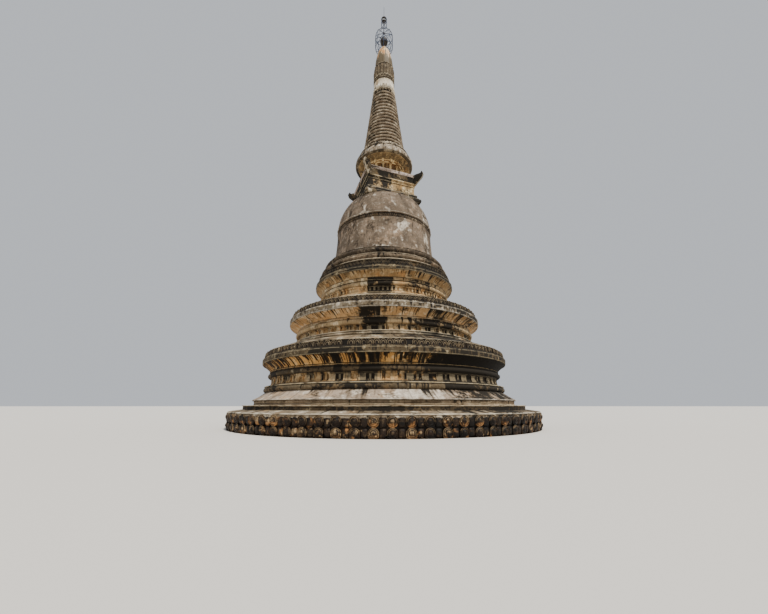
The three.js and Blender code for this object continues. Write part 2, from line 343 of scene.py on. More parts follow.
@dataclass(frozen=True)
class Finish:
    """How a piece is finished, and the slot of the frame that the finish stands for."""

    name: str
    slot: str

    def material(self, span: Span) -> Material:
        """Makes the material for a piece.

        Args:
            span: where the piece lies.

        Returns:
            The material.
        """
        material = bpy.data.materials.new(f"{self.name}_{span.foot:.1f}")
        material.use_nodes = True
        material.node_tree.nodes.clear()
        graph = Graph(material.node_tree)
        shader = graph.made("ShaderNodeBsdfPrincipled", inputs=self.shading(Surface(graph, span)))
        graph.node("ShaderNodeOutputMaterial", inputs={0: shader})
        return material

    def shading(self, surface: Surface) -> dict[str, Any]:
        """Gives the inputs of the shader; each kind of finish has its own."""
        raise NotImplementedError


@dataclass(frozen=True)
class Stucco(Finish):
    """Old stucco or limewash with blotches, peeled places, mould and black run-off, with painted
    highlights on crests and tops and painted shade in grooves, at feet and on shaded sides.
    """

    body: Colour
    shade: Colour
    light: Colour
    warm: Colour
    film: Colour = "564732"
    # This dark colour serves as the black mould, and also as painted shade in grooves, in recesses
    # and at the foot of courses.
    mould_and_shade: Colour = "211d17"
    light_share: float = 0.25
    warm_share: float = 0.2
    mould_share: float = 0.3
    run_share: float = 0.3
    run_width: float = 0.5
    run_stretch: float = 0.05
    run_taper: float = 0.08
    drip_width: float = 0.0
    drip_foot: float = 0.0
    drip_reach: float = 0.5
    drip_share: float = 0.5
    drip_fill: float = 0.28
    blotch: float = 1.4
    ledge_mould: float = 0.2
    crest_light: float = 0.45
    top_lit: float = 0.0
    groove_dark: float = 0.85
    head_light: float = 0.0
    foot_dark: float = 0.3
    foot_warm: float = 0.0
    piece_shade: float = 0.0
    pale_pieces: float = 0.0
    mottle: float = 0.0
    roughness: float = 0.88
    gloss: float = 0.22
    relief: float = 0.02
    # The damp zones add mould and run-off: real wet stains, and on broad sides painted shade.
    damp_and_shade: tuple[Zone, ...] = ()
    # The washed zones add pale patches: mostly limewash, and on the throne's front corner leaf
    # painted light.
    washed_and_lit: tuple[Zone, ...] = ()

    def shading(self, surface: Surface) -> dict[str, Any]:
        """Paints the piece and roughens it.

        Args:
            surface: what the piece shows.

        Returns:
            The inputs of its shader.
        """
        graph = surface.graph
        patches = surface.noise(0.5 * self.blotch, 7.0, 23.0)
        colour = self.plaster(surface, patches)
        film, black = self.growth(surface)
        colour = graph.mix(colour, self.film, film * 0.72)
        colour = graph.mix(colour, self.mould_and_shade, black * 0.98)
        # Crests take the light colour: partly worn bare edges, partly a painted highlight. top_lit
        # keeps this painted highlight to skyward faces, as if light fell from above.
        bare = graph.step(surface.crest, 0.8, 0.12) * graph.step(patches, 0.43, 0.1)
        if self.top_lit > 0:
            bare = bare * (surface.skyward * self.top_lit + (1 - self.top_lit))
        colour = graph.mix(colour, self.light, bare * self.crest_light)
        # Grooves, hollows and recessed walls (low crest marks) take the dark colour: painted shade
        # in creases and recesses, with some grime.
        groove = (1.0 - graph.step(surface.crest, 0.24, 0.14)) * self.groove_dark
        colour = graph.mix(colour, self.mould_and_shade, groove)
        speck = surface.noise(0.06, 3.0, 7.0)
        colour = graph.mix(colour, self.mould_and_shade, graph.step(speck, 0.64, 0.05) * 0.5)
        grain, lumps = surface.noise(0.08, 6.0, 61.0), surface.noise(0.5, 5.0, 67.0)
        net = {"Vector": surface.here, "Scale": 1 / 0.9}
        edge = graph.made("ShaderNodeTexVoronoi", {"feature": "DISTANCE_TO_EDGE"}, net)
        crack = 1.0 - graph.step(edge, 0.012, 0.01)
        height = grain * 0.35 + lumps * 0.65 - black * 0.08 - crack * 0.1
        bump = {"Strength": 0.8, "Distance": 2 * self.relief, "Height": height}
        return {
            "Base Color": colour,
            "Roughness": grain * 0.16 + (self.roughness - 0.08),
            "Normal": graph.made("ShaderNodeBump", inputs=bump),
            "Specular IOR Level": self.gloss,
        }

    def plaster(self, surface: Surface, patches: Value) -> Value:
        """Gives the colour of the plaster under what grows on it, with a painted highlight near the
        head where head_light is set.

        Args:
            surface: what the piece shows.
            patches: the pattern of the light patches.

        Returns:
            The colour.
        """
        graph = surface.graph
        blotches = graph.step(surface.noise(self.blotch, 6.0), 0.5, 0.13)
        colour = graph.mix(self.body, self.shade, blotches)
        if self.piece_shade > 0:
            colour = graph.mix(colour, self.shade, surface.tint * self.piece_shade)
        warm = graph.step(surface.noise(0.8 * self.blotch, 5.0, 11.0), cut(self.warm_share), 0.06)
        colour = graph.mix(colour, self.warm, warm * 0.8)
        pale = patches + surface.zones(self.washed_and_lit)
        light = graph.step(pale, cut(self.light_share), 0.05)
        colour = graph.mix(colour, self.light, light * 0.8)
        # Lighter towards the head of the course: a painted highlight on its lit top.
        if self.head_light > 0:
            head = graph.step(surface.rise, 0.8, 0.12)
            colour = graph.mix(colour, self.light, head * self.head_light)
        if self.foot_warm > 0:
            low = 1.0 - graph.step(surface.rise, 0.34, 0.12)
            peeled = graph.step(surface.tint, 0.8, 0.05) * low * self.foot_warm
            colour = graph.mix(colour, self.warm, peeled)
        if self.pale_pieces > 0:
            bleached = graph.step(surface.tint, 1 - self.pale_pieces, 0.01)
            worn = graph.step(surface.noise(0.2, 4.0, 83.0), 0.42, 0.08)
            raised = graph.step(surface.crest, 0.52, 0.1) - graph.step(surface.crest, 0.85, 0.06)
            colour = graph.mix(colour, self.light, bleached * worn * raised * 0.7)
        if self.mottle > 0:
            dark = graph.step(surface.noise(0.5, 8.0, 71.0), 0.5, 0.07)
            bright = graph.step(surface.noise(0.15, 8.0, 73.0), 0.57, 0.05)
            colour = graph.mix(colour, self.shade, dark * self.mottle)
            colour = graph.mix(colour, self.light, bright * (0.35 * self.mottle))
        grain = surface.noise(0.14, 5.0, 31.0)
        return graph.mix(colour, self.shade, graph.step(grain, 0.55, 0.1) * 0.5)

    def growth(self, surface: Surface) -> tuple[Value, Value]:
        """Gives the brown film and the black mould on the plaster, with painted shade at the
        course's foot and on shaded sides.

        Args:
            surface: what the piece shows.

        Returns:
            How much film and how much black shows, both from 0 to 1.
        """
        graph = surface.graph
        fine = surface.noise(0.17, 5.0, 41.0)
        broad = surface.noise(1.25 * self.blotch, 6.0, 43.0)
        # Zones of wet stains, and broad zones of painted shade on whole sides, add to the mould and
        # draw the runs out.
        damp_and_shade = surface.zones(self.damp_and_shade)
        field = broad * 0.66 + fine * 0.34 + damp_and_shade
        edge = cut(self.mould_share)
        runs = surface.runs(self.run_width, self.run_stretch, 47.0)
        thin = surface.runs(0.25 * self.run_width, 2.0 * self.run_stretch, 53.0, 3.0)
        hanging = (surface.rise - 0.7) * self.run_taper
        flow = runs * 0.66 + thin * 0.26 + fine * 0.08 + hanging + damp_and_shade
        run_edge = cut(self.run_share) - 0.008
        trickle = graph.step(thin, 0.6, 0.04) * 0.6
        ledge = graph.step(fine, 0.62 - 0.3 * self.ledge_mould, 0.1) * surface.upward
        # Darker towards the foot of the course: painted shade where it meets the course below, with
        # some grime.
        foot = (1.0 - graph.step(surface.rise, 0.07, 0.07)) * self.foot_dark
        film = graph.most(
            graph.step(field, edge - 0.03, 0.04), graph.step(flow, run_edge - 0.02, 0.03), trickle
        )
        black = graph.most(
            graph.step(field, edge + 0.02, 0.03),
            graph.step(flow, run_edge + 0.012, 0.018),
            ledge * self.ledge_mould,
            foot,
        )
        if self.drip_width > 0:
            for width, seed, share in ((1.0, 3.1, 0.95), (0.4, 57.7, 0.8)):
                short, long = self.drips(surface, width * self.drip_width, seed, damp_and_shade)
                black, film = graph.most(black, short * share), graph.most(film, long * share)
        return film, black

    def drips(
        self, surface: Surface, width: float, seed: float, damp_and_shade: Value | float
    ) -> tuple[Value, Value]:
        """Gives upright runs that hang from the head, each to a depth of its own.

        Args:
            surface: what the piece shows.
            width: their mean width in metres.
            seed: picks another set.
            damp_and_shade: how strong the zones of wet stains and of painted shade are there, which
                draws them out.

        Returns:
            The black runs and the longer brown ones, both from 0 to 1.
        """
        graph = surface.graph
        drawn, off = surface.strips(width, seed)
        group = (surface.runs(1.3, 0.0, seed + 1.0, 2.0) - 0.5) * self.drip_reach
        length = (drawn + (self.drip_share - 1)) * (self.drip_reach / self.drip_share)
        reach = length + group + damp_and_shade * 5.0 + self.drip_foot
        left = reach + surface.rise - 1.0
        middle = 1.0 - graph.step(off, self.drip_fill, 0.08)
        return graph.step(left, 0.0, 0.035) * middle, graph.step(left, -0.06, 0.06) * middle


@dataclass(frozen=True)
class Metal(Finish):
    """Painted iron with dull patches and rust."""

    paint: Colour
    rust: Colour
    rust_share: float = 0.3
    roughness: float = 0.6
    bare: float = 0.15

    def shading(self, surface: Surface) -> dict[str, Any]:
        """Paints the piece and rusts it.

        Args:
            surface: what the piece shows.

        Returns:
            The inputs of its shader.
        """
        graph = surface.graph
        rusty = graph.step(surface.noise(0.18, 5.0, 3.0), cut(self.rust_share), 0.05)
        bump = {"Distance": 0.004, "Height": surface.noise(0.02, 3.0, 5.0)}
        return {
            "Base Color": graph.mix(self.paint, self.rust, rusty),
            "Metallic": (1.0 - rusty) * self.bare,
            "Roughness": rusty * 0.3 + self.roughness,
            "Normal": graph.made("ShaderNodeBump", inputs=bump),
        }


@dataclass(frozen=True)
class Glass(Finish):
    """A clear ball with a dusty skin."""

    tint: Colour
    dust: Colour = "ded6d0"

    def shading(self, surface: Surface) -> dict[str, Any]:
        """Makes the piece clear, with dust on it.

        Args:
            surface: what the piece shows.

        Returns:
            The inputs of its shader.
        """
        dusty = surface.graph.step(surface.noise(0.1, 4.0, 2.0), 0.55, 0.1)
        return {
            "Base Color": surface.graph.mix(self.tint, self.dust, dusty * 0.8),
            "Roughness": dusty * 0.3 + 0.05,
            "Transmission Weight": 0.4,
        }


# Broad zones on the right side (bearings about -45 to -65) and on the left side (about 165 to 190)
# stand in for the shade that falls on those sides: painted shade. The narrow zones are stains.
SHADED_DAMP_SIDE = Zone(-46, 44, 0.075)
TIER_STREAKS_AND_SHADE = (
    Zone(-54, 36, 0.2), Zone(-115, 3.2, 0.1), Zone(-127, 1.6, 0.1), Zone(20, 30, 0.06),
)
CENTRE_STAIN_AND_SHADE = (
    Zone(-115, 6, 0.13), Zone(-92, 12, 0.05), Zone(-64, 20, 0.08), Zone(20, 30, 0.06),
)
UPPER_STAIN_AND_SHADE = (Zone(-113, 9, 0.2), Zone(-146, 4, 0.06), Zone(-50, 30, 0.05))

LIME_LEDGE = Stucco(
    "lime_ledge", "lime_stucco", body="948168", shade="665945", light="d0c4aa", warm="a08058",
    mould_share=0.32, run_share=0.24, ledge_mould=0.15, foot_dark=0.2, mottle=0.3,
    damp_and_shade=(SHADED_DAMP_SIDE,),
)
COPING_LIME = replace(
    LIME_LEDGE, name="coping_lime", body="a08f79", shade="746652", light="d8ceba",
    mould_share=0.26, mottle=0.5,
)
# Its strong foot_dark paints shade where the skirt meets the course below.
SKIRT_LIME = replace(
    LIME_LEDGE, name="skirt_lime", body="b8a693", shade="8c7b6a", light="e4daca", warm="bca080",
    run_width=0.7, run_share=0.25, mould_share=0.2, foot_dark=0.7, mottle=0.35,
    washed_and_lit=(Zone(-98.5, 7, 0.2), Zone(-127, 4, 0.05)), damp_and_shade=(Zone(-52, 32, 0.11),),
)
BLACK_RISER = Stucco(
    "black_riser", "dark_stucco", body="262017", shade="1c1711", light="8a7a60", warm="4c3e2a",
    mould_share=0.5, run_share=0.4, light_share=0.04, crest_light=0.6, relief=0.015,
)
BROWN_RISER = replace(
    BLACK_RISER, name="brown_riser", body="a48e74", shade="7c6a52", light="ccbc9e",
    mould_share=0.2, run_share=0.2, light_share=0.2, mottle=0.4,
)
LOTUS_PLINTH = Stucco(
    "plinth_lotus", "dark_stucco", body="301f12", shade="181009", light="c8a87c", warm="c48a50",
    film="22170e", mould_and_shade="0e0a06", mould_share=0.36, run_share=0.24, light_share=0.03,
    warm_share=0.08, blotch=0.5, run_width=0.22, crest_light=0.26, top_lit=0.7, groove_dark=0.75,
    ledge_mould=0.0, foot_dark=0.15, foot_warm=0.8, piece_shade=0.8, pale_pieces=0.12, mottle=0.25,
    relief=0.012, roughness=0.6, gloss=0.2, damp_and_shade=(Zone(-60, 38, 0.06),),
)
LOWER_LOTUS = replace(LOTUS_PLINTH, name="lower_lotus", foot_warm=0.2, pale_pieces=0.2)
GREY_ROLL = Stucco(
    "grey_roll", "grey_plaster", body="70624c", shade="4c4232", light="cebe9e", warm="8c704a",
    mould_share=0.4, run_share=0.34, light_share=0.18, run_width=0.4, crest_light=0.6, mottle=0.3,
    damp_and_shade=(SHADED_DAMP_SIDE,),
)
DARK_ROLL = replace(
    GREY_ROLL, name="dark_roll", body="584b38", shade="3a3226", light="b0a082", mould_share=0.42,
    crest_light=0.5, top_lit=0.5, damp_and_shade=TIER_STREAKS_AND_SHADE,
)
OCHRE_COVE = Stucco(
    "ochre_cove", "ochre_stucco", body="d0aa7a", shade="b68e5e", light="e6cea8", warm="be8a50",
    mould_share=0.1, run_share=0.1, light_share=0.3, warm_share=0.24, run_width=0.3,
    run_stretch=0.03, drip_width=0.13, drip_reach=0.55, drip_share=0.2, groove_dark=0.95,
    foot_dark=0.6, blotch=0.9, ledge_mould=0.0, mottle=0.2, damp_and_shade=CENTRE_STAIN_AND_SHADE,
)
CLEAN_COVE = replace(
    OCHRE_COVE, name="clean_cove", body="b0946b", shade="8e7049", light="ceb68e", mould_share=0.14,
    drip_width=0.1, drip_share=0.3, damp_and_shade=(Zone(-40, 40, 0.04), Zone(-150, 12, 0.04)),
)
BLACKENED_COVE = replace(
    OCHRE_COVE, name="blackened_cove", mould_share=0.2, run_share=0.2, drip_foot=0.12,
    drip_reach=1.1, drip_width=0.2, drip_share=0.6, drip_fill=0.5, body="cea060", shade="ac7e44",
    film="32281b", light="dcbe8c", mould_and_shade="0b0a07", damp_and_shade=TIER_STREAKS_AND_SHADE,
)
OCHRE_FRIEZE = replace(
    OCHRE_COVE, name="ochre_frieze", body="b89668", shade="8e6e46", light="d6c098",
    light_share=0.28, run_share=0.24, run_width=0.35, mould_share=0.22, crest_light=0.35,
    blotch=0.7, piece_shade=0.5, groove_dark=0.6, drip_width=0.2, drip_reach=0.8, drip_fill=0.4,
)
STAINED_DENTILS = replace(
    OCHRE_FRIEZE, name="stained_dentils", body="e2be8e", light_share=0.4, mould_share=0.1,
    run_share=0.1, groove_dark=0.3, drip_width=0.12, damp_and_shade=UPPER_STAIN_AND_SHADE,
)
BLACKENED_FRIEZE = replace(
    OCHRE_FRIEZE, name="blackened_frieze", mould_share=0.34, run_share=0.34, light_share=0.24,
    crest_light=0.3, drip_reach=1.1, damp_and_shade=TIER_STREAKS_AND_SHADE,
)
CREAM_ROLL = Stucco(
    "cream_roll", "lime_stucco", body="c8ac82", shade="947c5a", light="e4d2ae", warm="b88e5c",
    mould_share=0.18, run_share=0.16, light_share=0.3, run_width=0.4, ledge_mould=0.1, mottle=0.25,
    damp_and_shade=CENTRE_STAIN_AND_SHADE,
)
STAINED_ROLL = replace(CREAM_ROLL, name="stained_roll", damp_and_shade=UPPER_STAIN_AND_SHADE)
MOTTLED_FASCIA = Stucco(
    "mottled_fascia", "lime_stucco", body="887c69", shade="605646", light="d0c6b4", warm="78684c",
    mould_share=0.28, light_share=0.28, blotch=0.5, run_width=0.22, head_light=0.3, foot_dark=0.5,
    mottle=0.4, damp_and_shade=(SHADED_DAMP_SIDE,),
)
DARK_FASCIA = replace(
    MOTTLED_FASCIA, name="dark_fascia", body="5e523e", shade="403729", light="a89a7c",
    light_share=0.2, mould_share=0.38, run_share=0.36, damp_and_shade=(SHADED_DAMP_SIDE, Zone(-128, 9, 0.1)),
)
BLACK_PETALS = Stucco(
    "black_petals", "dark_stucco", body="2a221a", shade="1c1611", light="a69578", warm="58462e",
    film="322a1f", mould_and_shade="17130f", mould_share=0.35, run_share=0.2, light_share=0.03, blotch=0.8,
    crest_light=0.34, top_lit=0.4, groove_dark=1.0, ledge_mould=0.0, foot_dark=0.2, relief=0.008,
    roughness=0.8, gloss=0.2,
)
SHADED_PETALS = replace(
    BLACK_PETALS, name="shaded_petals", body="1e1812", shade="14100c", light="84755c",
    mould_and_shade="0f0c09", crest_light=0.26, top_lit=0.25,
)
BELL_PLASTER = Stucco(
    "bell_plaster", "grey_plaster", body="8a7866", shade="584c3f", light="ded4c4", warm="9c846c",
    film="5c4f40", mould_and_shade="3c332a", mould_share=0.22, run_share=0.2, light_share=0.03, blotch=0.9,
    run_width=0.35, run_stretch=0.16, ledge_mould=0.1, groove_dark=0.7, crest_light=0.2,
    foot_dark=0.0, relief=0.018, mottle=0.35, damp_and_shade=(Zone(-170, 34, 0.05), Zone(-46, 14, 0.03)),
    washed_and_lit=(
        Zone(-88, 8, 0.22, 0.62, 0.9), Zone(-137, 4, 0.13, 0.75, 0.95),
        Zone(-112, 9, 0.15, -0.5, 0.2), Zone(-94, 8, 0.1, 0.3, 0.55),
        Zone(-150, 12, 0.1, -0.5, 0.14), Zone(-54, 5, 0.17, -0.5, 0.85),
    ),
)
DOME_PLASTER = replace(
    BELL_PLASTER, name="dome_plaster", body="827160", light_share=0.06,
    washed_and_lit=(Zone(-54, 5, 0.17, -0.5, 0.8), Zone(-132, 7, 0.07, -0.5, 0.4)),
)
# The rolls' light tops (head_light) and dark undersides (foot_dark) are painted highlight and
# painted shade.
BELL_ROLL = replace(
    BELL_PLASTER, name="bell_roll", slot="dark_stucco", body="7a6955", shade="524638",
    light="cebea4", mould_and_shade="1a1611", film="42382b", mould_share=0.34, run_share=0.3,
    crest_light=0.9, top_lit=0.5, groove_dark=1.0, head_light=0.3, foot_dark=0.9, light_share=0.1,
    damp_and_shade=(), washed_and_lit=(),
)
DARK_BELL_ROLL = replace(
    BELL_ROLL, name="dark_bell_roll", body="584b3c", shade="3a3127", head_light=0.1,
    mould_share=0.42, crest_light=0.5,
)
BELT_STUCCO = replace(
    BLACK_PETALS, name="belt_stucco", body="685a49", shade="42382d", light="a69680",
    crest_light=0.6, top_lit=0.0,
)
CREAM_PANEL = Stucco(
    "cream_panel", "lime_stucco", body="c8aa7c", shade="8a7250", light="e6d2aa", warm="a88454",
    mould_share=0.38, run_share=0.24, blotch=1.3, mottle=0.1,
    damp_and_shade=(Zone(170, 50, 0.1), Zone(-104, 11, 0.12)),
)
# Its pale zone at bearing -135 paints light on the front corner leaf, and its dark zone at -45
# paints shade on the right corner leaf.
THRONE_MOULDING = Stucco(
    "throne_moulding", "grey_plaster", body="706149", shade="463c2b", light="d2c4aa",
    warm="7e623c", mould_share=0.42, run_share=0.36, light_share=0.16, run_width=0.3,
    crest_light=0.6, blotch=0.6, head_light=0.2, mottle=0.3, washed_and_lit=(Zone(-135, 7, 0.14),),
    damp_and_shade=(Zone(170, 40, 0.04), Zone(-112, 10, 0.08), Zone(-45, 9, 0.12)),
)
PINK_EDGE = replace(
    CREAM_PANEL, name="pink_edge", body="b09e92", shade="807064", light="ded0c6", warm="aa8c74",
    mould_share=0.3, damp_and_shade=(), mottle=0.4,
)
# Its strong foot_dark paints shade on the underside of the rim.
HOOD_PLASTER = Stucco(
    "hood_plaster", "lime_stucco", body="aea08c", shade="7c6e5c", light="e0d6c5", warm="8e704a",
    mould_share=0.22, run_share=0.25, light_share=0.34, run_width=0.25, crest_light=0.5,
    foot_dark=0.95, blotch=0.5, relief=0.012, mottle=0.4, damp_and_shade=(Zone(170, 50, 0.08),),
)
BROWN_SOFFIT = replace(
    OCHRE_COVE, name="brown_soffit", body="8e7650", shade="645035", light="ac9268", warm="846036",
    mould_share=0.3, damp_and_shade=(), foot_dark=0.0, blotch=0.6, groove_dark=0.7, drip_width=0.0,
)
SOFFIT_LIP = replace(DARK_ROLL, name="soffit_lip", damp_and_shade=(), mould_share=0.4)
LIT_COLUMNS = replace(
    OCHRE_FRIEZE, name="lit_columns", body="a27c4c", shade="785632", light="e2c48e", warm="96683c",
    mould_share=0.18, run_share=0.14, damp_and_shade=(), foot_dark=0.1, drip_width=0.0, crest_light=0.9,
)
RING_PLASTER = Stucco(
    "ring_plaster", "grey_plaster", body="867663", shade="5e5041", light="ccbea6", warm="7c674d",
    mould_share=0.22, run_share=0.2, light_share=0.2, warm_share=0.12, run_width=0.3,
    run_stretch=0.3, crest_light=0.8, groove_dark=1.0, ledge_mould=0.0, foot_dark=0.0, blotch=0.6,
    relief=0.008, mottle=0.35, damp_and_shade=(Zone(165, 50, 0.06),),
)
CREAM_WAIST = replace(
    CREAM_PANEL, name="cream_waist", body="eee4d0", shade="c0b096", light="f6f0e2",
    mould_share=0.06, run_share=0.08, light_share=0.5, relief=0.008, damp_and_shade=(),
)
PALE_PETALS = replace(
    BLACK_PETALS, name="pale_petals", body="786a54", shade="4c4132", light="e2d4ba",
    light_share=0.25, mould_share=0.25, crest_light=0.9,
)
CROWN_PETALS = replace(
    PALE_PETALS, name="crown_petals", body="584d3c", light="cec0a4", light_share=0.1,
)
BUD_STUCCO = Stucco(
    "bud_stucco", "gilding", body="706452", shade="504638", light="ac9e86", warm="846e52",
    mould_share=0.2, light_share=0.18, run_width=0.14, run_stretch=0.1, foot_dark=0.4,
    relief=0.006, blotch=0.4, mottle=0.3,
)
FADED_GILDING = replace(
    BUD_STUCCO, name="faded_gilding", body="e2ba88", shade="c69860", light="f8e4c6", warm="e2964a",
    film="847050", mould_and_shade="5c503c", mould_share=0.24, run_share=0.32, run_taper=-0.36,
    run_width=0.3, roughness=0.6, foot_dark=0.5, warm_share=0.4, light_share=0.36, blotch=0.6,
    mottle=0.15, washed_and_lit=(Zone(-70, 30, 0.12),),
)
UMBRELLA_IRON = Metal("umbrella_iron", "iron", "2c3c58", "342a28")
DARK_BRONZE = Metal("dark_bronze", "iron", "2e261f", "221c18", 0.4)
CLEAR_BALL = Glass("clear_ball", "glass", "d6e0e8")
LOWER_TIER = {
    "foot_roll": GREY_ROLL, "frieze": BLACKENED_FRIEZE, "upper_roll": DARK_ROLL,
    "cove": BLACKENED_COVE, "fascia": DARK_FASCIA, "lotus_row": BLACK_PETALS, "roof": LIME_LEDGE,
}
MIDDLE_TIER = LOWER_TIER | {
    "foot_roll": LIME_LEDGE, "frieze": OCHRE_FRIEZE, "upper_roll": CREAM_ROLL,
    "cove": OCHRE_COVE, "fascia": MOTTLED_FASCIA,
}


# Outlines, as radius and level from foot to head, and sections


def placed(radius: float, level: float, *offsets: Pair) -> Outline:
    """Gives points of an outline by their place from a radius and a level."""
    return [(radius + across, level + up) for across, up in offsets]


def half_round(radius: float, bulge: float, foot: float, head: float, steps: int = 12) -> Outline:
    """Gives a roll that stands out between two levels.

    Args:
        radius: its largest radius.
        bulge: how far it stands out.
        foot: its lower level.
        head: its upper level.
        steps: how many chords the arc has.

    Returns:
        The outline.
    """
    turns = [math.pi * i / steps for i in range(steps + 1)]
    middle, half = (foot + head) / 2, (head - foot) / 2
    return [(radius - bulge + bulge * math.sin(t), middle - half * math.cos(t)) for t in turns]


def cove(inner: float, outer: float, foot: float, head: float, steps: int = 10) -> Outline:
    """Gives a shallow hollow that widens from an inner to an outer radius."""
    shares = [i / steps for i in range(steps + 1)]
    return [(inner + (outer - inner) * s**1.45, foot + (head - foot) * s) for s in shares]


def ball(radius: float, centre: float, steps: int) -> Outline:
    """Gives the outline of a ball with its poles cut off."""
    turns = np.linspace(0.12, math.pi - 0.12, steps)
    return [(radius * math.sin(t), centre - radius * math.cos(t)) for t in turns]


def refined(outline: Outline, longest: float) -> Outline:
    """Divides the long stretches of an outline.

    Args:
        outline: the outline.
        longest: the longest stretch that may stay, in metres.

    Returns:
        The same outline with more points.
    """
    points = []
    for (r0, z0), (r1, z1) in zip(outline, outline[1:]):
        count = max(1, math.ceil(math.hypot(r1 - r0, z1 - z0) / longest))
        points += [(r0 + (r1 - r0) * i / count, z0 + (z1 - z0) * i / count) for i in range(count)]
    return points + [outline[-1]]


def crests(outline: Outline, reach: float = 0.035) -> np.ndarray:
    """Tells how far each point of an outline stands out: 0 in a groove, 0.5 flat, 1 on an edge.

    Args:
        outline: the outline.
        reach: how far along it the bend is read, in metres.

    Returns:
        A mark for each point.
    """
    points = np.array(outline)
    steps = np.hypot(*np.diff(points, axis=0).T)
    way = np.concatenate(([0.0], np.cumsum(steps)))

    def at(shift: float) -> np.ndarray:
        """Gives the outline's points moved along it."""
        return np.column_stack([np.interp(way + shift, way, points[:, k]) for k in (0, 1)])

    into, out = points - at(-reach), at(reach) - points
    cross = into[:, 0] * out[:, 1] - into[:, 1] * out[:, 0]
    turn = np.arctan2(cross, np.einsum("ij,ij->i", into, out))
    return 0.5 + np.clip(0.6 * turn, -0.5, 0.5)


def smooth_curve(points: Sequence[Pair], steps: int) -> Outline:
    """Draws a smooth curve through points.

    Args:
        points: the points to pass.
        steps: how many chords lie between two of them.

    Returns:
        The points of the curve.
    """
    given = [np.array(p) for p in (points[0], *points, points[-1])]
    curve = []
    for a, b, c, d in zip(given, given[1:], given[2:], given[3:]):
        for t in np.arange(steps) / steps:
            bend = (2 * a - 5 * b + 4 * c - d) * t**2 + (3 * b - a - 3 * c + d) * t**3
            curve.append(tuple(map(float, 0.5 * (2 * b + (c - a) * t + bend))))
    return curve + [tuple(points[-1])]


def parted(count: int, start: float = 0.0) -> list[float]:
    """Gives the turns that part a circle evenly."""
    return [2 * math.pi * (i + start) / count for i in range(count)]


def polar(radius: float, turn: float, *level: float) -> tuple[float, ...]:
    """Gives a point by its radius, its turn and, for a point in space, its level."""
    return (radius * math.cos(turn), radius * math.sin(turn), *level)


@dataclass(frozen=True)
class Circle:
    """The round section of a course, with shallow upright flutes if it has any."""

    sides: int
    flutes: int = 0
    depth: float = 0.0

    def __call__(self, radius: float) -> list[Pair]:
        """Draws it at a radius."""
        return [polar(radius * (1 - self.flute(turn)), turn) for turn in parted(self.sides)]

    def flute(self, turn: float) -> float:
        """Tells how deep the flutes are at a turn, as a share of the radius."""
        return self.depth * (0.5 - 0.5 * math.cos(self.flutes * turn)) ** 2


# Meshes


def new_object(
    points: Sequence[Point],
    faces: Sequence[Sequence[int]],
    marks: Sequence[float],
    edges: Sequence[tuple[int, int]] = (),
    name: str = "part",
) -> Object:
    """Makes an object in the scene.

    Args:
        points: its vertices in metres.
        faces: its faces.
        marks: the crest mark of each vertex.
        edges: loose edges.
        name: its name.

    Returns:
        The object.
    """
    mesh = bpy.data.meshes.new(name)
    mesh.from_pydata(points, edges, faces)
    mesh.attributes.new(CREST, "FLOAT", "POINT").data.foreach_set("value", list(marks))
    made = bpy.data.objects.new(name, mesh)
    bpy.context.scene.collection.objects.link(made)
    return made


def stacked(rings: int, count: int) -> list[list[int]]:
    """Gives the faces of a closed stack of rings from foot to head.

    Args:
        rings: how many rings there are.
        count: how many vertices each has, anticlockwise seen from above.

    Returns:
        The faces, with both ends closed.
    """
    faces = []
    for low in range(0, (rings - 1) * count, count):
        for i in range(count):
            j = (i + 1) % count
            faces.append([low + i, low + j, low + count + j, low + count + i])
    faces.append(list(range(count))[::-1])
    faces.append([(rings - 1) * count + i for i in range(count)])
    return faces


def lofted(outline: Outline, section: Section, mark: float | None) -> Object:
    """Makes a closed solid whose section keeps its form and follows an outline.

    Args:
        outline: size and level of the section, from foot to head.
        section: draws the section for a size.
        mark: one crest mark for the whole, read off the outline if it isn't given.

    Returns:
        The object.
    """
    rings = [[(x, y, level) for x, y in section(size)] for size, level in outline]
    count = len(rings[0])
    points = [point for ring in rings for point in ring]
    marks = np.repeat(crests(outline), count) if mark is None else [mark] * len(points)
    return new_object(points, stacked(len(rings), count), marks)


class PetalForm(Enum):
    """The outline of a lotus petal."""

    ROUND = "round at both ends"
    STANDING = "round head and a square foot"
    POINTED = "pointed head and a square foot"
    BLUNT = "squared at both ends"


Ridges = tuple[Point, ...]

# High crest marks take the light colour, worn edges with a painted highlight; low marks take the
# dark colour as painted shade in grooves.
ARCHED: Ridges = (
    (1.0, 0.1, 0.1), (0.96, 0.6, 0.9), (0.87, 0.66, 0.95), (0.78, 0.48, 0.1),
    (0.7, 0.66, 0.9), (0.6, 0.72, 0.9), (0.5, 0.66, 0.25), (0.34, 0.92, 0.6), (0.14, 1.0, 0.8),
)
SCALED: Ridges = (
    (1.0, 0.1, 0.1), (0.96, 0.72, 1.0), (0.82, 0.74, 1.0), (0.7, 0.3, 0.0), (0.56, 0.62, 1.0),
    (0.4, 0.72, 1.0), (0.22, 0.5, 0.1),
)
DOMED: Ridges = (
    (1.0, 0.1, 0.05), (0.92, 0.55, 0.4), (0.7, 0.85, 0.6), (0.4, 0.98, 0.72), (0.15, 1.0, 0.78),
)


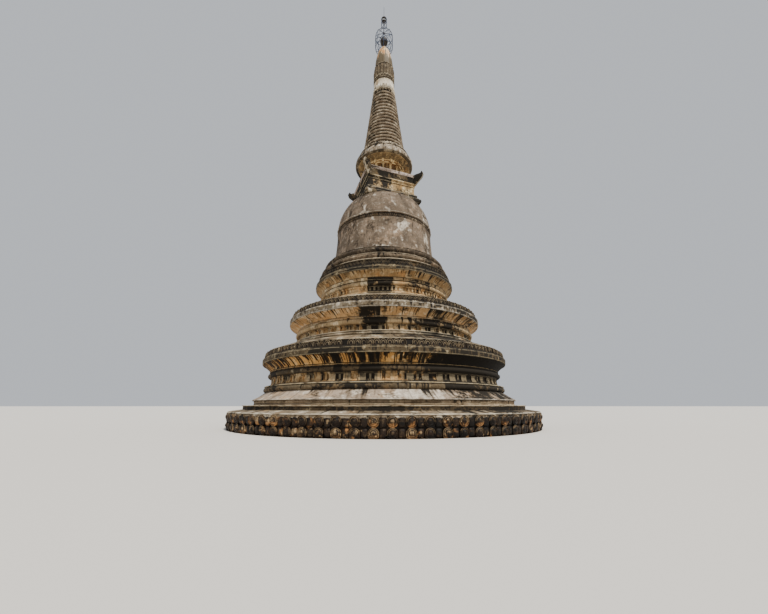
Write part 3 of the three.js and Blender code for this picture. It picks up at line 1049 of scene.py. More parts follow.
@dataclass(frozen=True)
class Petal:
    """A lotus petal in relief that faces +Y, with its middle at the origin.

    Its ridges are given from the rim inwards, as size, height and crest mark.
    """

    width: float
    height: float
    depth: float
    form: PetalForm = PetalForm.ROUND
    ridges: Ridges = SCALED
    steps: int = 14
    embed: float = 0.08

    def edge(self, turn: float) -> Pair:
        """Gives a point of the outline.

        Args:
            turn: where on the outline it is.

        Returns:
            Its place across and up.
        """
        across, up = math.cos(turn), math.sin(turn)
        if self.form is PetalForm.BLUNT:
            across, up = (math.copysign(abs(part) ** 0.55, part) for part in (across, up))
        elif up < 0 and self.form is not PetalForm.ROUND:
            across = math.copysign(abs(across) ** 0.4, across)
            up = -(abs(up) ** 0.4)
        elif self.form is PetalForm.POINTED:
            across *= 1 - 0.45 * up
        return 0.5 * self.width * across, 0.5 * self.height * up

    def build(self) -> Object:
        """Builds the petal.

        Returns:
            A closed mesh.
        """
        outline = [self.edge(turn) for turn in parted(self.steps)]
        lift = 0.05 * self.height
        points = [(x, -self.embed, z) for x, z in outline]
        marks = [0.0] * self.steps
        for share, rise, mark in self.ridges:
            points += [
                (share * x, rise * self.depth, share * z + (1 - share) * lift) for x, z in outline
            ]
            # Below the middle no mark passes 0.5, so the painted highlight on crests stays on the
            # upper half, where light from above falls.
            marks += [mark if z > -0.1 * self.height else min(mark, 0.5) for _, z in outline]
        faces = [face[::-1] for face in stacked(len(self.ridges) + 1, self.steps)]
        return new_object(points, faces, marks)


@dataclass(frozen=True)
class Block:
    """A small block in relief that faces +Y, with softened edges, its middle at the origin."""

    width: float
    height: float
    depth: float
    splay: float = 0.0
    soft: float = 0.02
    embed: float = 0.06

    def build(self) -> Object:
        """Builds the block; its foot stands out further by the splay.

        Returns:
            A closed mesh.
        """
        levels = (0.0, 0.08, 0.3, 0.6, 1.0)
        half = self.width / 2
        rows = []
        for level in levels:
            front = self.depth + self.splay * (1 - level) ** 3
            z = (level - 0.5) * self.height
            # The back edge's mark 0.1 paints shade where the block meets the wall; the front edges'
            # mark 0.85 takes a painted highlight.
            side = [(half, -self.embed, z, 0.1), (half, front - self.soft, z, 0.5)]
            side.append((half - self.soft, front, z, 0.85))
            rows += side + [(-x, *rest) for x, *rest in reversed(side)]
        points, marks = [row[:3] for row in rows], [row[3] for row in rows]
        return new_object(points, stacked(len(levels), 6), marks)


# Geometry node trees


class NodeTool:
    """A geometry node tree with named inputs, run on an object and turned into plain mesh."""

    def __init__(self, name: str, inputs: Mapping[str, str]) -> None:
        """Makes the tree and its inputs.

        Args:
            name: the tree's name.
            inputs: the type of each input by name.
        """
        self.tree = bpy.data.node_groups.new(name, "GeometryNodeTree")
        self.graph = Graph(self.tree)
        face = self.tree.interface
        face.new_socket("Geometry", in_out="OUTPUT", socket_type="NodeSocketGeometry")
        self.keys = {
            key: face.new_socket(key, in_out="INPUT", socket_type=f"NodeSocket{kind}").identifier
            for key, kind in {"Geometry": "Geometry", **inputs, "Finish": "Material"}.items()
        }
        self.given = self.graph.node("NodeGroupInput")

    def input(self, key: str) -> Value:
        """Gives an input's value inside the tree."""
        return Value(self.graph, self.given.outputs[key])

    def close(self, geometry: Value) -> None:
        """Ends the tree in realized instances with the finish set.

        Args:
            geometry: what the tree makes.
        """
        real = self.graph.made("GeometryNodeRealizeInstances", inputs={0: geometry})
        inputs = {"Geometry": real, "Material": self.input("Finish")}
        dressed = self.graph.made("GeometryNodeSetMaterial", inputs=inputs)
        self.graph.node("NodeGroupOutput", inputs={0: dressed})

    def run(self, target: Object, **values: Any) -> Object:
        """Runs the tree on an object and keeps the result as its mesh.

        Args:
            target: the object; its mesh is the tree's geometry.
            **values: the inputs by name.

        Returns:
            The same object with the made mesh.
        """
        modifier = target.modifiers.new(self.tree.name, "NODES")
        modifier.node_group = self.tree
        for key, given in values.items():
            modifier[self.keys[key]] = given
        graph = bpy.context.evaluated_depsgraph_get()
        made = bpy.data.meshes.new_from_object(
            target.evaluated_get(graph), preserve_all_data_layers=True, depsgraph=graph
        )
        target.modifiers.remove(modifier)
        old, target.data = target.data, made
        bpy.data.meshes.remove(old)
        return target


class RingTool(NodeTool):
    """Sets a piece round a ring, with small faults, gaps and a tint for each."""

    def __init__(self) -> None:
        """Builds the tree."""
        numbers = ("Radius", "Level", "Phase", "Lean", "Scatter", "Tilt", "Missing")
        kinds = {"Piece": "Object", "Count": "Int", "Seed": "Int"}
        super().__init__("ring_of_pieces", kinds | dict.fromkeys(numbers, "Float"))
        graph = self.graph
        piece = {0: self.input("Piece")}
        instances = graph.made("GeometryNodeInstanceOnPoints", inputs={
            "Points": self.points(),
            "Selection": self.kept(),
            "Instance": graph.made("GeometryNodeObjectInfo", None, piece, "Geometry"),
            "Rotation": self.turn(),
            "Scale": self.spread(self.input("Scatter"), 9.0) + 1.0,
        })
        settings = {"data_type": "FLOAT", "domain": "INSTANCE"}
        tint = {"Geometry": instances, "Name": TINT, "Value": self.spread(0.5, 17.0) + 0.5}
        self.close(graph.made("GeometryNodeStoreNamedAttribute", settings, tint))

    def upright(self, key: str) -> Value:
        """Gives the vector that has an input's number as its third part."""
        return self.graph.made("ShaderNodeCombineXYZ", inputs={2: self.input(key)})

    def points(self) -> Value:
        """Gives the ring's points at their level."""
        sizes = {"Vertices": self.input("Count"), "Radius": self.input("Radius")}
        circle = self.graph.made("GeometryNodeMeshCircle", inputs=sizes)
        return self.graph.made("GeometryNodeTransform", inputs={
            "Geometry": circle,
            "Translation": self.upright("Level"),
            "Rotation": self.upright("Phase"),
        })

    def spread(self, reach: Value | float, offset: float) -> Value:
        """Draws a random number for each piece.

        Args:
            reach: the number lies between minus and plus this.
            offset: tells one draw from the others.

        Returns:
            The number.
        """
        seed = {"Seed": self.input("Seed") + offset}
        drawn = self.graph.made("FunctionNodeRandomValue", {"data_type": "FLOAT"}, seed, 1)
        return (drawn - 0.5) * 2.0 * reach

    def turn(self) -> Value:
        """Gives the turn of each piece: outwards, leaning in, a little out of true."""
        across, along, _ = self.graph.split(self.graph.made("GeometryNodeInputPosition"))
        facing = self.graph.math("ARCTAN2", along, across) - math.pi / 2
        tilt = self.input("Tilt")
        lean = self.input("Lean") + self.spread(tilt, 3.0)
        turns = {0: lean, 1: self.spread(tilt, 5.0), 2: facing}
        return self.graph.made("ShaderNodeCombineXYZ", inputs=turns)

    def kept(self) -> Value:
        """Tells which pieces haven't fallen off."""
        sides = {0: self.spread(0.5, 13.0) + 0.5, 1: self.input("Missing")}
        return self.graph.made("FunctionNodeCompare", {"operation": "GREATER_THAN"}, sides)


class WeatherTool(NodeTool):
    """Swells, roughens and chips a surface."""

    def __init__(self) -> None:
        """Builds the tree."""
        numbers = ("Swell", "Size", "Grit", "Chips", "Seed")
        super().__init__("weathered_surface", dict.fromkeys(numbers, "Float"))
        graph = self.graph
        swell = self.noise(self.input("Size"), 2.0) * self.input("Swell") * 2.0
        grit = self.noise(0.22, 4.0) * self.input("Grit") * 2.0
        named = {"data_type": "FLOAT"}
        mark = graph.made("GeometryNodeInputNamedAttribute", named, {"Name": CREST})
        chipped = graph.step(mark, 0.85, 0.12) * graph.step(self.noise(0.5, 4.0), 0.05, 0.05)
        moved = swell + grit - chipped * self.input("Chips")
        offset = graph.vector("SCALE", graph.made("GeometryNodeInputNormal"), moved)
        moves = {"Geometry": self.input("Geometry"), "Offset": offset}
        self.close(graph.made("GeometryNodeSetPosition", inputs=moves))

    def noise(self, size: float | Value, detail: float) -> Value:
        """Gives a noise about 0 at a size in metres."""
        place, graph = self.graph.made("GeometryNodeInputPosition"), self.graph
        return graph.noise(place, graph.math("DIVIDE", 1.0, size), detail, self.input("Seed")) - 0.5


class BarTool(NodeTool):
    """Turns loose edges into round bars."""

    def __init__(self) -> None:
        """Builds the tree."""
        super().__init__("round_bars", {"Radius": "Float", "Sides": "Int"})
        graph = self.graph
        sizes = {"Resolution": self.input("Sides"), "Radius": self.input("Radius")}
        self.close(graph.made("GeometryNodeCurveToMesh", inputs={
            "Curve": graph.made("GeometryNodeMeshToCurve", inputs={0: self.input("Geometry")}),
            "Profile Curve": graph.made("GeometryNodeCurvePrimitiveCircle", inputs=sizes),
            "Fill Caps": True,
        }))


# Pieces


@dataclass(frozen=True)
class Wear:
    """How much a course has swollen, roughened and chipped, in metres."""

    swell: float = 0.012
    size: float = 1.6
    grit: float = 0.008
    chips: float = 0.03


NO_WEAR = Wear(0.0, 1.0, 0.0, 0.0)
RING, WEATHER, BARS = RingTool(), WeatherTool(), BarTool()
SEEDS = itertools.count(1)


def located(node: str) -> Span:
    """Gives where a node of the frame lies."""
    low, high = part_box(node)
    return Span(low[2], high[2], high[0])


def worn(made: Object, material: Material, wear: Wear) -> Object:
    """Wears an object and sets its material."""
    amounts = {"Swell": wear.swell, "Size": wear.size, "Grit": wear.grit, "Chips": wear.chips}
    return WEATHER.run(made, **amounts, Seed=float(next(SEEDS)), Finish=material)


class Piece:
    """A piece in the making, which stands for one node of the frame."""

    def __init__(self, name: str, node: str, finish: Finish, span: Span | None = None) -> None:
        """Makes the piece's material.

        Args:
            name: the piece's name.
            node: the node that it stands for.
            finish: its finish.
            span: where the finish starts and ends, the node's own place if it isn't given.
        """
        self.name = name
        self.node = node
        self.finish = finish
        self.span = span or located(node)
        self.material = finish.material(self.span)
        self.parts: list[Object] = []

    def add(self, part: Object) -> Piece:
        """Adds a part."""
        self.parts.append(part)
        return self

    def course(
        self,
        outline: Outline,
        wear: Wear = Wear(),
        longest: float = 0.09,
        mark: float | None = None,
        section: Section | None = None,
        material: Material | None = None,
    ) -> Piece:
        """Adds a weathered course.

        Args:
            outline: radius and level from foot to head.
            wear: how worn it is.
            longest: the longest stretch of outline between two rings.
            mark: one crest mark for the whole, read off the outline if it isn't given.
            section: draws its section, round if it isn't given.
            material: its material, the piece's own if it isn't given.

        Returns:
            The piece.
        """
        reach = max(radius for radius, _ in outline)
        sides = max(FEWEST_SIDES, 4 * math.ceil(2 * math.pi * reach / SIDE / 4))
        made = lofted(refined(outline, longest), section or Circle(sides), mark)
        return self.add(worn(made, material or self.material, wear))

    def ring(
        self,
        unit: Petal | Block,
        count: int,
        radius: float,
        level: float,
        phase: float = 0.0,
        lean: float = 0.0,
        scatter: float = 0.03,
        tilt: float = 0.02,
        missing: float = 0.0,
        material: Material | None = None,
    ) -> Piece:
        """Adds a ring of petals or blocks.

        Args:
            unit: the petal or block.
            count: how many there are.
            radius: the ring's radius.
            level: the level of the units' middles.
            phase: the ring's turn, as a share of the pitch.
            lean: how far the units lean in, in radians.
            scatter: how much their sizes differ.
            tilt: how much their turns differ, in radians.
            missing: the share that has fallen off.
            material: their material, the piece's own if it isn't given.

        Returns:
            The piece.
        """
        source, holder = unit.build(), new_object([], [], [])
        RING.run(
            holder, Piece=source, Count=count, Radius=radius, Level=level,
            Phase=phase * 2 * math.pi / count, Lean=lean, Scatter=scatter, Tilt=tilt,
            Missing=missing, Seed=next(SEEDS), Finish=material or self.material,
        )
        bpy.data.objects.remove(source)
        return self.add(holder)

    def wires(
        self, routes: Routes, radius: float, material: Material | None = None
    ) -> Piece:
        """Adds round bars.

        Args:
            routes: the points of each bar; a bar that ends where it starts is closed.
            radius: the bars' radius.
            material: their material, the piece's own if it isn't given.

        Returns:
            The piece.
        """
        points: list[Point] = []
        edges: list[tuple[int, int]] = []
        for route in routes:
            closed = math.dist(route[0], route[-1]) < 1e-6
            kept = route[:-1] if closed else route
            places = range(len(points), len(points) + len(kept))
            points += kept
            edges += itertools.pairwise(places)
            if closed:
                edges.append((places[-1], places[0]))
        made = new_object(points, [], [0.5] * len(points), edges)
        return self.add(BARS.run(made, Radius=radius, Sides=8, Finish=material or self.material))

    def join(self) -> None:
        """Joins the parts and hands the whole to the frame."""
        whole = self.parts[0]
        with bpy.context.temp_override(
            active_object=whole, selected_editable_objects=self.parts, selected_objects=self.parts
        ):
            bpy.ops.object.join()
        mesh = whole.data
        whole.name = mesh.name = self.name
        mesh.polygons.foreach_set("use_smooth", [True] * len(mesh.polygons))
        mesh.set_sharp_from_angle(angle=SMOOTH_UP_TO)
        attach(whole, BODY)
        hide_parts(self.node)
        triangles = sum(len(face.vertices) - 2 for face in mesh.polygons)
        log.info("%s: %d triangles", self.name, triangles)


# Sub-assemblies, from the ground up


@dataclass
class LotusPlinth:
    """Two courses of large petals under a sloping coping."""

    petals: int = 80
    depth: float = 0.2
    upper_width: float = 0.6
    lower_width: float = 0.56
    narrow_width: float = 0.4

    def build(self) -> None:
        """Builds and dresses the plinth."""
        self.lower_course()
        self.upper_course()
        self.coping()

    def narrow(self, height: float, depth: float) -> Petal:
        """Gives the blunt petal that stands between the wide ones."""
        return Petal(self.narrow_width, height, depth * self.depth, PetalForm.BLUNT, DOMED, 16)

    def lower_course(self) -> None:
        """Builds the lower petals, which stand on a low kerb."""
        piece = Piece("lower_petals", "plinth_lower_lotus_course", LOWER_LOTUS)
        span = piece.span
        wall = span.reach - self.depth - 0.03
        size = (self.lower_width, 0.96 * span.height, self.depth)
        wide = Petal(*size, PetalForm.STANDING, ARCHED, 20)
        narrow = self.narrow(0.9 * span.height, 0.62)
        kerb = placed(wall, span.foot, (0.14, 0), (0.14, 0.02), (0, 0.04))
        # The wall's low mark darkens it: painted shade behind the petals.
        piece.course(span.upright(wall), NO_WEAR, mark=0.2)
        piece.course(kerb, NO_WEAR, mark=0.4)
        piece.ring(wide, self.petals, wall, span.middle)
        piece.ring(narrow, self.petals, wall, span.middle - 0.01, 0.5, tilt=0.03).join()

    def upper_course(self) -> None:
        """Builds the upper petals, whose heads cut into the coping's lower edge."""
        piece = Piece("upper_petals", "plinth_upper_lotus_course", LOTUS_PLINTH)
        span, lime = piece.span, COPING_LIME.material(piece.span)
        wall = span.reach - self.depth - 0.03
        wide = Petal(self.upper_width, 1.1 * span.height, self.depth, ridges=ARCHED, steps=20)
        narrow = self.narrow(0.98 * span.height, 0.68)
        apron = placed(wall, span.head, (0.04, -0.14), (0.1, -0.11), (0.11, 0))
        # The wall's low mark darkens it: painted shade behind the petals.
        piece.course(span.upright(wall), mark=0.2)
        piece.course(apron, Wear(0.02, 0.5, 0.015, 0.05), 0.05, material=lime)
        piece.ring(wide, self.petals, wall, span.middle, tilt=0.03)
        piece.ring(narrow, self.petals, wall, span.middle - 0.03, 0.5, tilt=0.04).join()

    def coping(self) -> None:
        """Builds the sloping coping."""
        piece = Piece("coping", "plinth_coping", COPING_LIME)
        outline = piece.span.low((-0.05, 0), (0, 0.05), (-0.04, 0.1))
        outline.append((located("base_step").reach + 0.05, piece.span.head))
        piece.course(outline, Wear(0.025, 0.9, 0.018, 0.06)).join()


@dataclass
class SteppedBase:
    """A low step with a pale nose, a thin riser and the sloping skirt."""

    nose: float = 0.07

    def build(self) -> None:
        """Builds and dresses the base."""
        piece = Piece("step", "base_step", BLACK_RISER)
        span, pale = piece.span, BROWN_RISER.material(piece.span)
        edge = span.head - self.nose
        face = [*span.low((-0.03, 0)), (span.reach - 0.05, edge)]
        lip = [(span.reach - 0.07, edge), *half_round(span.reach, 0.03, edge + 0.01, span.head, 6)]
        piece.course(face).course(lip, Wear(chips=0.04), 0.05, material=pale).join()
        piece = Piece("riser", "base_riser", BROWN_RISER)
        outline = piece.span.low((0, 0), (0, 0.08), (-0.03, 0.1), (-0.05, 0.13), (-0.02, 0.15))
        outline += piece.span.high((-0.02, -0.05), (-0.05, 0))
        piece.course(outline, longest=0.05).join()
        piece = Piece("skirt", "sloping_skirt", SKIRT_LIME)
        span, inner = piece.span, located("tier1_foot_roll").reach - 0.15
        outline = span.low((-0.05, 0), (0, 0.03), (-0.01, 0.07), (-0.05, 0.1))
        outline += [(0.48 * span.reach + 0.52 * inner, span.up(0.52)), (inner, span.head)]
        piece.course(outline, Wear(0.03, 1.6, 0.014, 0.05)).join()


@dataclass
class RoundTier:
    """A moulded tier: foot roll, frieze, upper roll, cove, fascia, petal row and roof."""

    prefix: str
    following: str
    bays: int
    pairs: int
    block_width: float
    finishes: dict[str, Stucco]

    def build(self) -> None:
        """Builds and dresses the tier."""
        self.foot_roll()
        self.frieze()
        self.upper_roll()
        self.cove()
        self.fascia()
        self.lotus_row()
        self.roof()

    def reach(self, course: str) -> float:
        """Gives the radius of one of the tier's courses."""
        return located(f"{self.prefix}_{course}").reach

    def piece(self, name: str, course: str) -> Piece:
        """Starts the piece that stands for one of the tier's courses."""
        return Piece(f"{self.prefix}_{name}", f"{self.prefix}_{course}", self.finishes[course])

    def foot_roll(self) -> None:
        """Builds the roll at the foot with its thin pale fillet."""
        piece = self.piece("foot", "foot_roll")
        span, fillet = piece.span, piece.span.up(0.66)
        outline = half_round(span.reach, 0.12, span.foot, fillet)
        outline += [(span.reach - 0.13, fillet + 0.02)]
        outline += half_round(span.reach - 0.06, 0.05, fillet + 0.03, fillet + 0.11, 6)
        outline += [(self.reach("frieze") + 0.02, span.head)]
        piece.course(outline, longest=0.05).join()

    def frieze(self) -> None:
        """Builds the sunk wall, its blocks and the band over them."""
        piece = self.piece("blocks", "frieze")
        span, splay = piece.span, 0.13
        height, core = span.height, span.reach - splay - 0.14
        block = Block(self.block_width, 0.78 * height, 0.06, splay)
        fillet = Block(0.35 * self.block_width, 0.7 * height, 0.04)
        band = span.head - 0.24 * height
        lintel = placed(core, band, (0.03, 0), (0.06, 0.01), (0.06, 0.05), (0.1, 0.06))
        lintel += [(core + 0.1, span.head)]
        sill = [(0.27 * (1 - i / 8) ** 2.4, 0.05 * height * i) for i in range(9)]
        piece.course(span.upright(core), mark=0.5)
        piece.course(placed(core, span.foot, *sill), longest=0.05, mark=0.5)
        piece.course(lintel, longest=0.05)
        piece.ring(block, self.bays, core, span.up(0.39), scatter=0.02, tilt=0.01, missing=0.02)
        piece.ring(
            fillet, self.bays, core, span.up(0.38), 0.5, scatter=0.04, tilt=0.01, missing=0.35
        ).join()

    def upper_roll(self) -> None:
        """Builds the roll over the frieze and the sunk neck above it."""
        piece = self.piece("roll", "upper_roll")
        span, turn = piece.span, piece.span.up(0.74)
        neck = span.reach - 0.15
        outline = half_round(span.reach, 0.14, span.foot, turn)
        outline += placed(neck, turn, (-0.03, 0.02), (-0.03, 0.05)) + [(neck, span.head)]
        piece.course(outline, longest=0.05).join()

    def cove(self) -> None:
        """Builds the overhanging cove with its thin fillets."""
        piece = self.piece("hollow", "cove")
        span, neck = piece.span, self.reach("upper_roll") - 0.12
        outline = placed(neck, span.foot, (0, 0), (0, 0.05), (-0.04, 0.06))
        outline += cove(neck - 0.04, span.reach - 0.12, span.foot + 0.08, span.head - 0.05)
        outline += span.high((-0.1, -0.05), (-0.02, 0))
        piece.course(outline, Wear(0.015, 1.2, 0.008, 0.0)).join()

    def fascia(self) -> None:
        """Builds the upright fascia with its worn edges."""
        piece = self.piece("band", "fascia")
        outline = piece.span.low((-0.06, 0), (-0.01, 0.04))
        outline += piece.span.high((-0.01, -0.14), (-0.04, -0.1), (-0.1, -0.06))
        outline += [(self.reach("lotus_row") - 0.05, piece.span.head)]
        piece.course(outline, Wear(0.02, 1.6, 0.012, 0.06)).join()

    def lotus_row(self) -> None:
        """Builds the row of petals that stand on the fascia like scales."""
        piece = self.piece("petals", "lotus_row")
        span, core = piece.span, piece.span.reach - 0.14
        pitch, level = 2 * math.pi * core / self.pairs, span.up(0.14)
        big = Petal(0.6 * pitch, 1.7 * span.height, 0.16)
        small = Petal(0.54 * pitch, 1.6 * span.height, 0.12)
        # The backing wall's low mark paints it dark: painted shade behind the petals.
        piece.course([(core, span.foot), (core - 0.1, span.head)], mark=0.1)
        piece.ring(big, self.pairs, core, level, lean=0.2, missing=0.02)
        piece.ring(small, self.pairs, core, level, 0.5, lean=0.2, missing=0.03).join()

    def roof(self) -> None:
        """Builds the sloping roof ledge."""
        piece = self.piece("slope", "roof")
        span, inner = piece.span, located(self.following).reach
        outline = span.low((0, 0), (-0.02, 0.05))
        outline += [(0.5 * (span.reach + inner), span.up(0.62)), (inner, span.head)]
        piece.course(outline, Wear(0.03, 1.6, 0.012, 0.0)).join()


@dataclass
class BellTier:
    """The tier under the bell: ledge, dentil frieze, roll, cove, rim and petal row."""

    dentils: int = 104
    pairs: int = 58

    def build(self) -> None:
        """Builds and dresses the tier."""
        self.frieze()
        self.roll_and_cove()
        self.rim()
        self.lotus_row()

    def frieze(self) -> None:
        """Builds the ledge and the dentils over it."""
        piece = Piece("tier3_dentils", "tier3_frieze", STAINED_DENTILS)
        span, shelf = piece.span, piece.span.foot + 0.2
        core = located("tier3_upper_roll").reach - 0.27
        ledge = [*span.low((0, 0)), (span.reach, shelf - 0.05)]
        ledge += placed(core, shelf, (0.1, 0.03), (0, 0.06))
        sill = placed(core, shelf, (0.08, 0.03), (0.12, 0.06), (0.1, 0.12))
        rail = placed(core, span.head, (0.08, -0.1), (0.12, -0.08), (0.12, 0))
        piece.course(ledge)
        piece.course([(core, shelf), (core, span.head)], mark=0.5)
        piece.course(sill, longest=0.05).course(rail, longest=0.05)
        tooth = Block(0.18, 0.24, 0.07)
        piece.ring(tooth, self.dentils, core, span.head - 0.21, scatter=0.02, missing=0.08).join()

    def roll_and_cove(self) -> None:
        """Builds the roll, the sunk neck and the cove."""
        piece = Piece("tier3_roll", "tier3_upper_roll", STAINED_ROLL)
        span, turn = piece.span, piece.span.up(0.56)
        neck = span.reach - 0.06
        outline = half_round(span.reach, 0.14, span.foot, turn)
        outline += placed(neck, turn, (-0.1, 0.02), (-0.1, 0.07), (-0.04, 0.09), (-0.04, 0.13))
        piece.course([*outline, (neck, span.head)], longest=0.05).join()
        piece = Piece("tier3_hollow", "tier3_cove", CLEAN_COVE)
        span = piece.span
        outline = [(neck, span.foot)]
        outline += cove(neck - 0.02, span.reach - 0.08, span.foot + 0.03, span.head - 0.04)
        outline += span.high((-0.06, -0.04), (-0.02, 0))
        piece.course(outline, Wear(0.012, 1.2, 0.008, 0.0)).join()

    def rim(self) -> None:
        """Builds the dark rim."""
        piece = Piece("tier3_edge", "tier3_rim", DARK_FASCIA)
        outline = piece.span.low((-0.04, 0), (-0.01, 0.03))
        outline += piece.span.high((-0.01, -0.14), (-0.06, -0.1), (-0.08, -0.05), (-0.14, 0))
        piece.course(outline, Wear(0.015, 1.6, 0.008, 0.05)).join()

    def lotus_row(self) -> None:
        """Builds the petals on the rim."""
        piece = Piece("tier3_petals", "tier3_lotus_row", SHADED_PETALS)
        span, core = piece.span, piece.span.reach - 0.12
        outline = [(core, span.foot)]
        outline += placed(core, span.up(0.72), (-0.06, 0), (0.03, 0.04), (0.02, 0.09))
        outline += [(core - 0.06, span.head)]
        pitch, level = 2 * math.pi * core / self.pairs, span.up(0.24)
        big = Petal(0.62 * pitch, 1.0 * span.height, 0.11)
        small = Petal(0.54 * pitch, 0.95 * span.height, 0.09)
        piece.course(outline, longest=0.06)
        piece.ring(big, self.pairs, core, level, lean=0.15, missing=0.03)
        piece.ring(small, self.pairs, core, level, 0.5, lean=0.15).join()


@dataclass
class Bell:
    """Two rolls, the tall drum, the belt with its studs and the dome."""

    studs: int = 150
    crown: float = 3.1
    edge: float = 0.14

    def build(self) -> None:
        """Builds and dresses the bell."""
        self.roll("bell_lower_roll", 0.2, BELL_ROLL)
        self.roll("bell_upper_roll", 0.22, DARK_BELL_ROLL)
        self.drum()
        self.belt()
        self.dome()

    def roll(self, node: str, bulge: float, finish: Stucco) -> None:
        """Builds one roll with the thin fillet under it.

        Args:
            node: the node that it stands for.
            bulge: how far it stands out.
            finish: its finish.
        """
        piece = Piece(f"{node}_moulding", node, finish)
        span = piece.span
        fillet, turn = span.up(0.2), span.up(0.82)
        outline = half_round(span.reach - 0.02, 0.05, span.foot, fillet, 6)
        outline += [(span.reach - 0.1, fillet + 0.02)]
        outline += half_round(span.reach, bulge, fillet + 0.03, turn)
        outline += [(span.reach - bulge - 0.03, turn + 0.02), (span.reach - bulge, span.head)]
        piece.course(outline, longest=0.05).join()

    def level(self, span: Span, share: float) -> float:
        """Gives the level at a share of the height over the edge at the foot."""
        return span.foot + self.edge + (span.height - self.edge) * share

    def drum(self) -> None:
        """Builds the flaring drum with the pale ridge at its foot."""
        piece = Piece("bell_body", "bell_drum", BELL_PLASTER)
        span, waist = piece.span, located("bell_belt").reach + 0.03
        flare = span.reach - 0.12 - waist
        outline = half_round(span.reach, 0.08, span.foot, span.foot + 0.12, 6)
        for share in (i / 16 for i in range(1, 17)):
            outline.append((waist + flare * (1 - share) ** 1.6, self.level(span, share)))
        piece.course(outline, Wear(0.025, 1.8, 0.008, 0.03)).join()

    def belt(self) -> None:
        """Builds the sunk belt with a row of small upright studs."""
        piece = Piece("bell_girdle", "bell_belt", BELT_STUCCO)
        span = piece.span
        outline = span.low((0, 0), (0.01, 0.03), (-0.04, 0.05)) + span.high((-0.04, -0.04), (0, 0))
        stud = Petal(0.1, 0.2, 0.05, PetalForm.POINTED, DOMED, 8)
        piece.course(outline)
        piece.ring(stud, self.studs, span.reach - 0.04, span.middle + 0.03, missing=0.2).join()

    def dome(self) -> None:
        """Builds the dome that rises from its lip to the throne."""
        piece = Piece("bell_crown", "bell_dome", DOME_PLASTER)
        span, swell = piece.span, piece.span.reach - 0.08 - self.crown
        outline = span.low((-0.08, 0), (0, 0.03), (0, 0.09))
        for share in (i / 20 for i in range(21)):
            radius = self.crown + swell * (1 - share**1.7) ** 0.88
            outline.append((radius, self.level(span, share)))
        piece.course(outline, Wear(0.025, 1.5, 0.008, 0.04)).join()


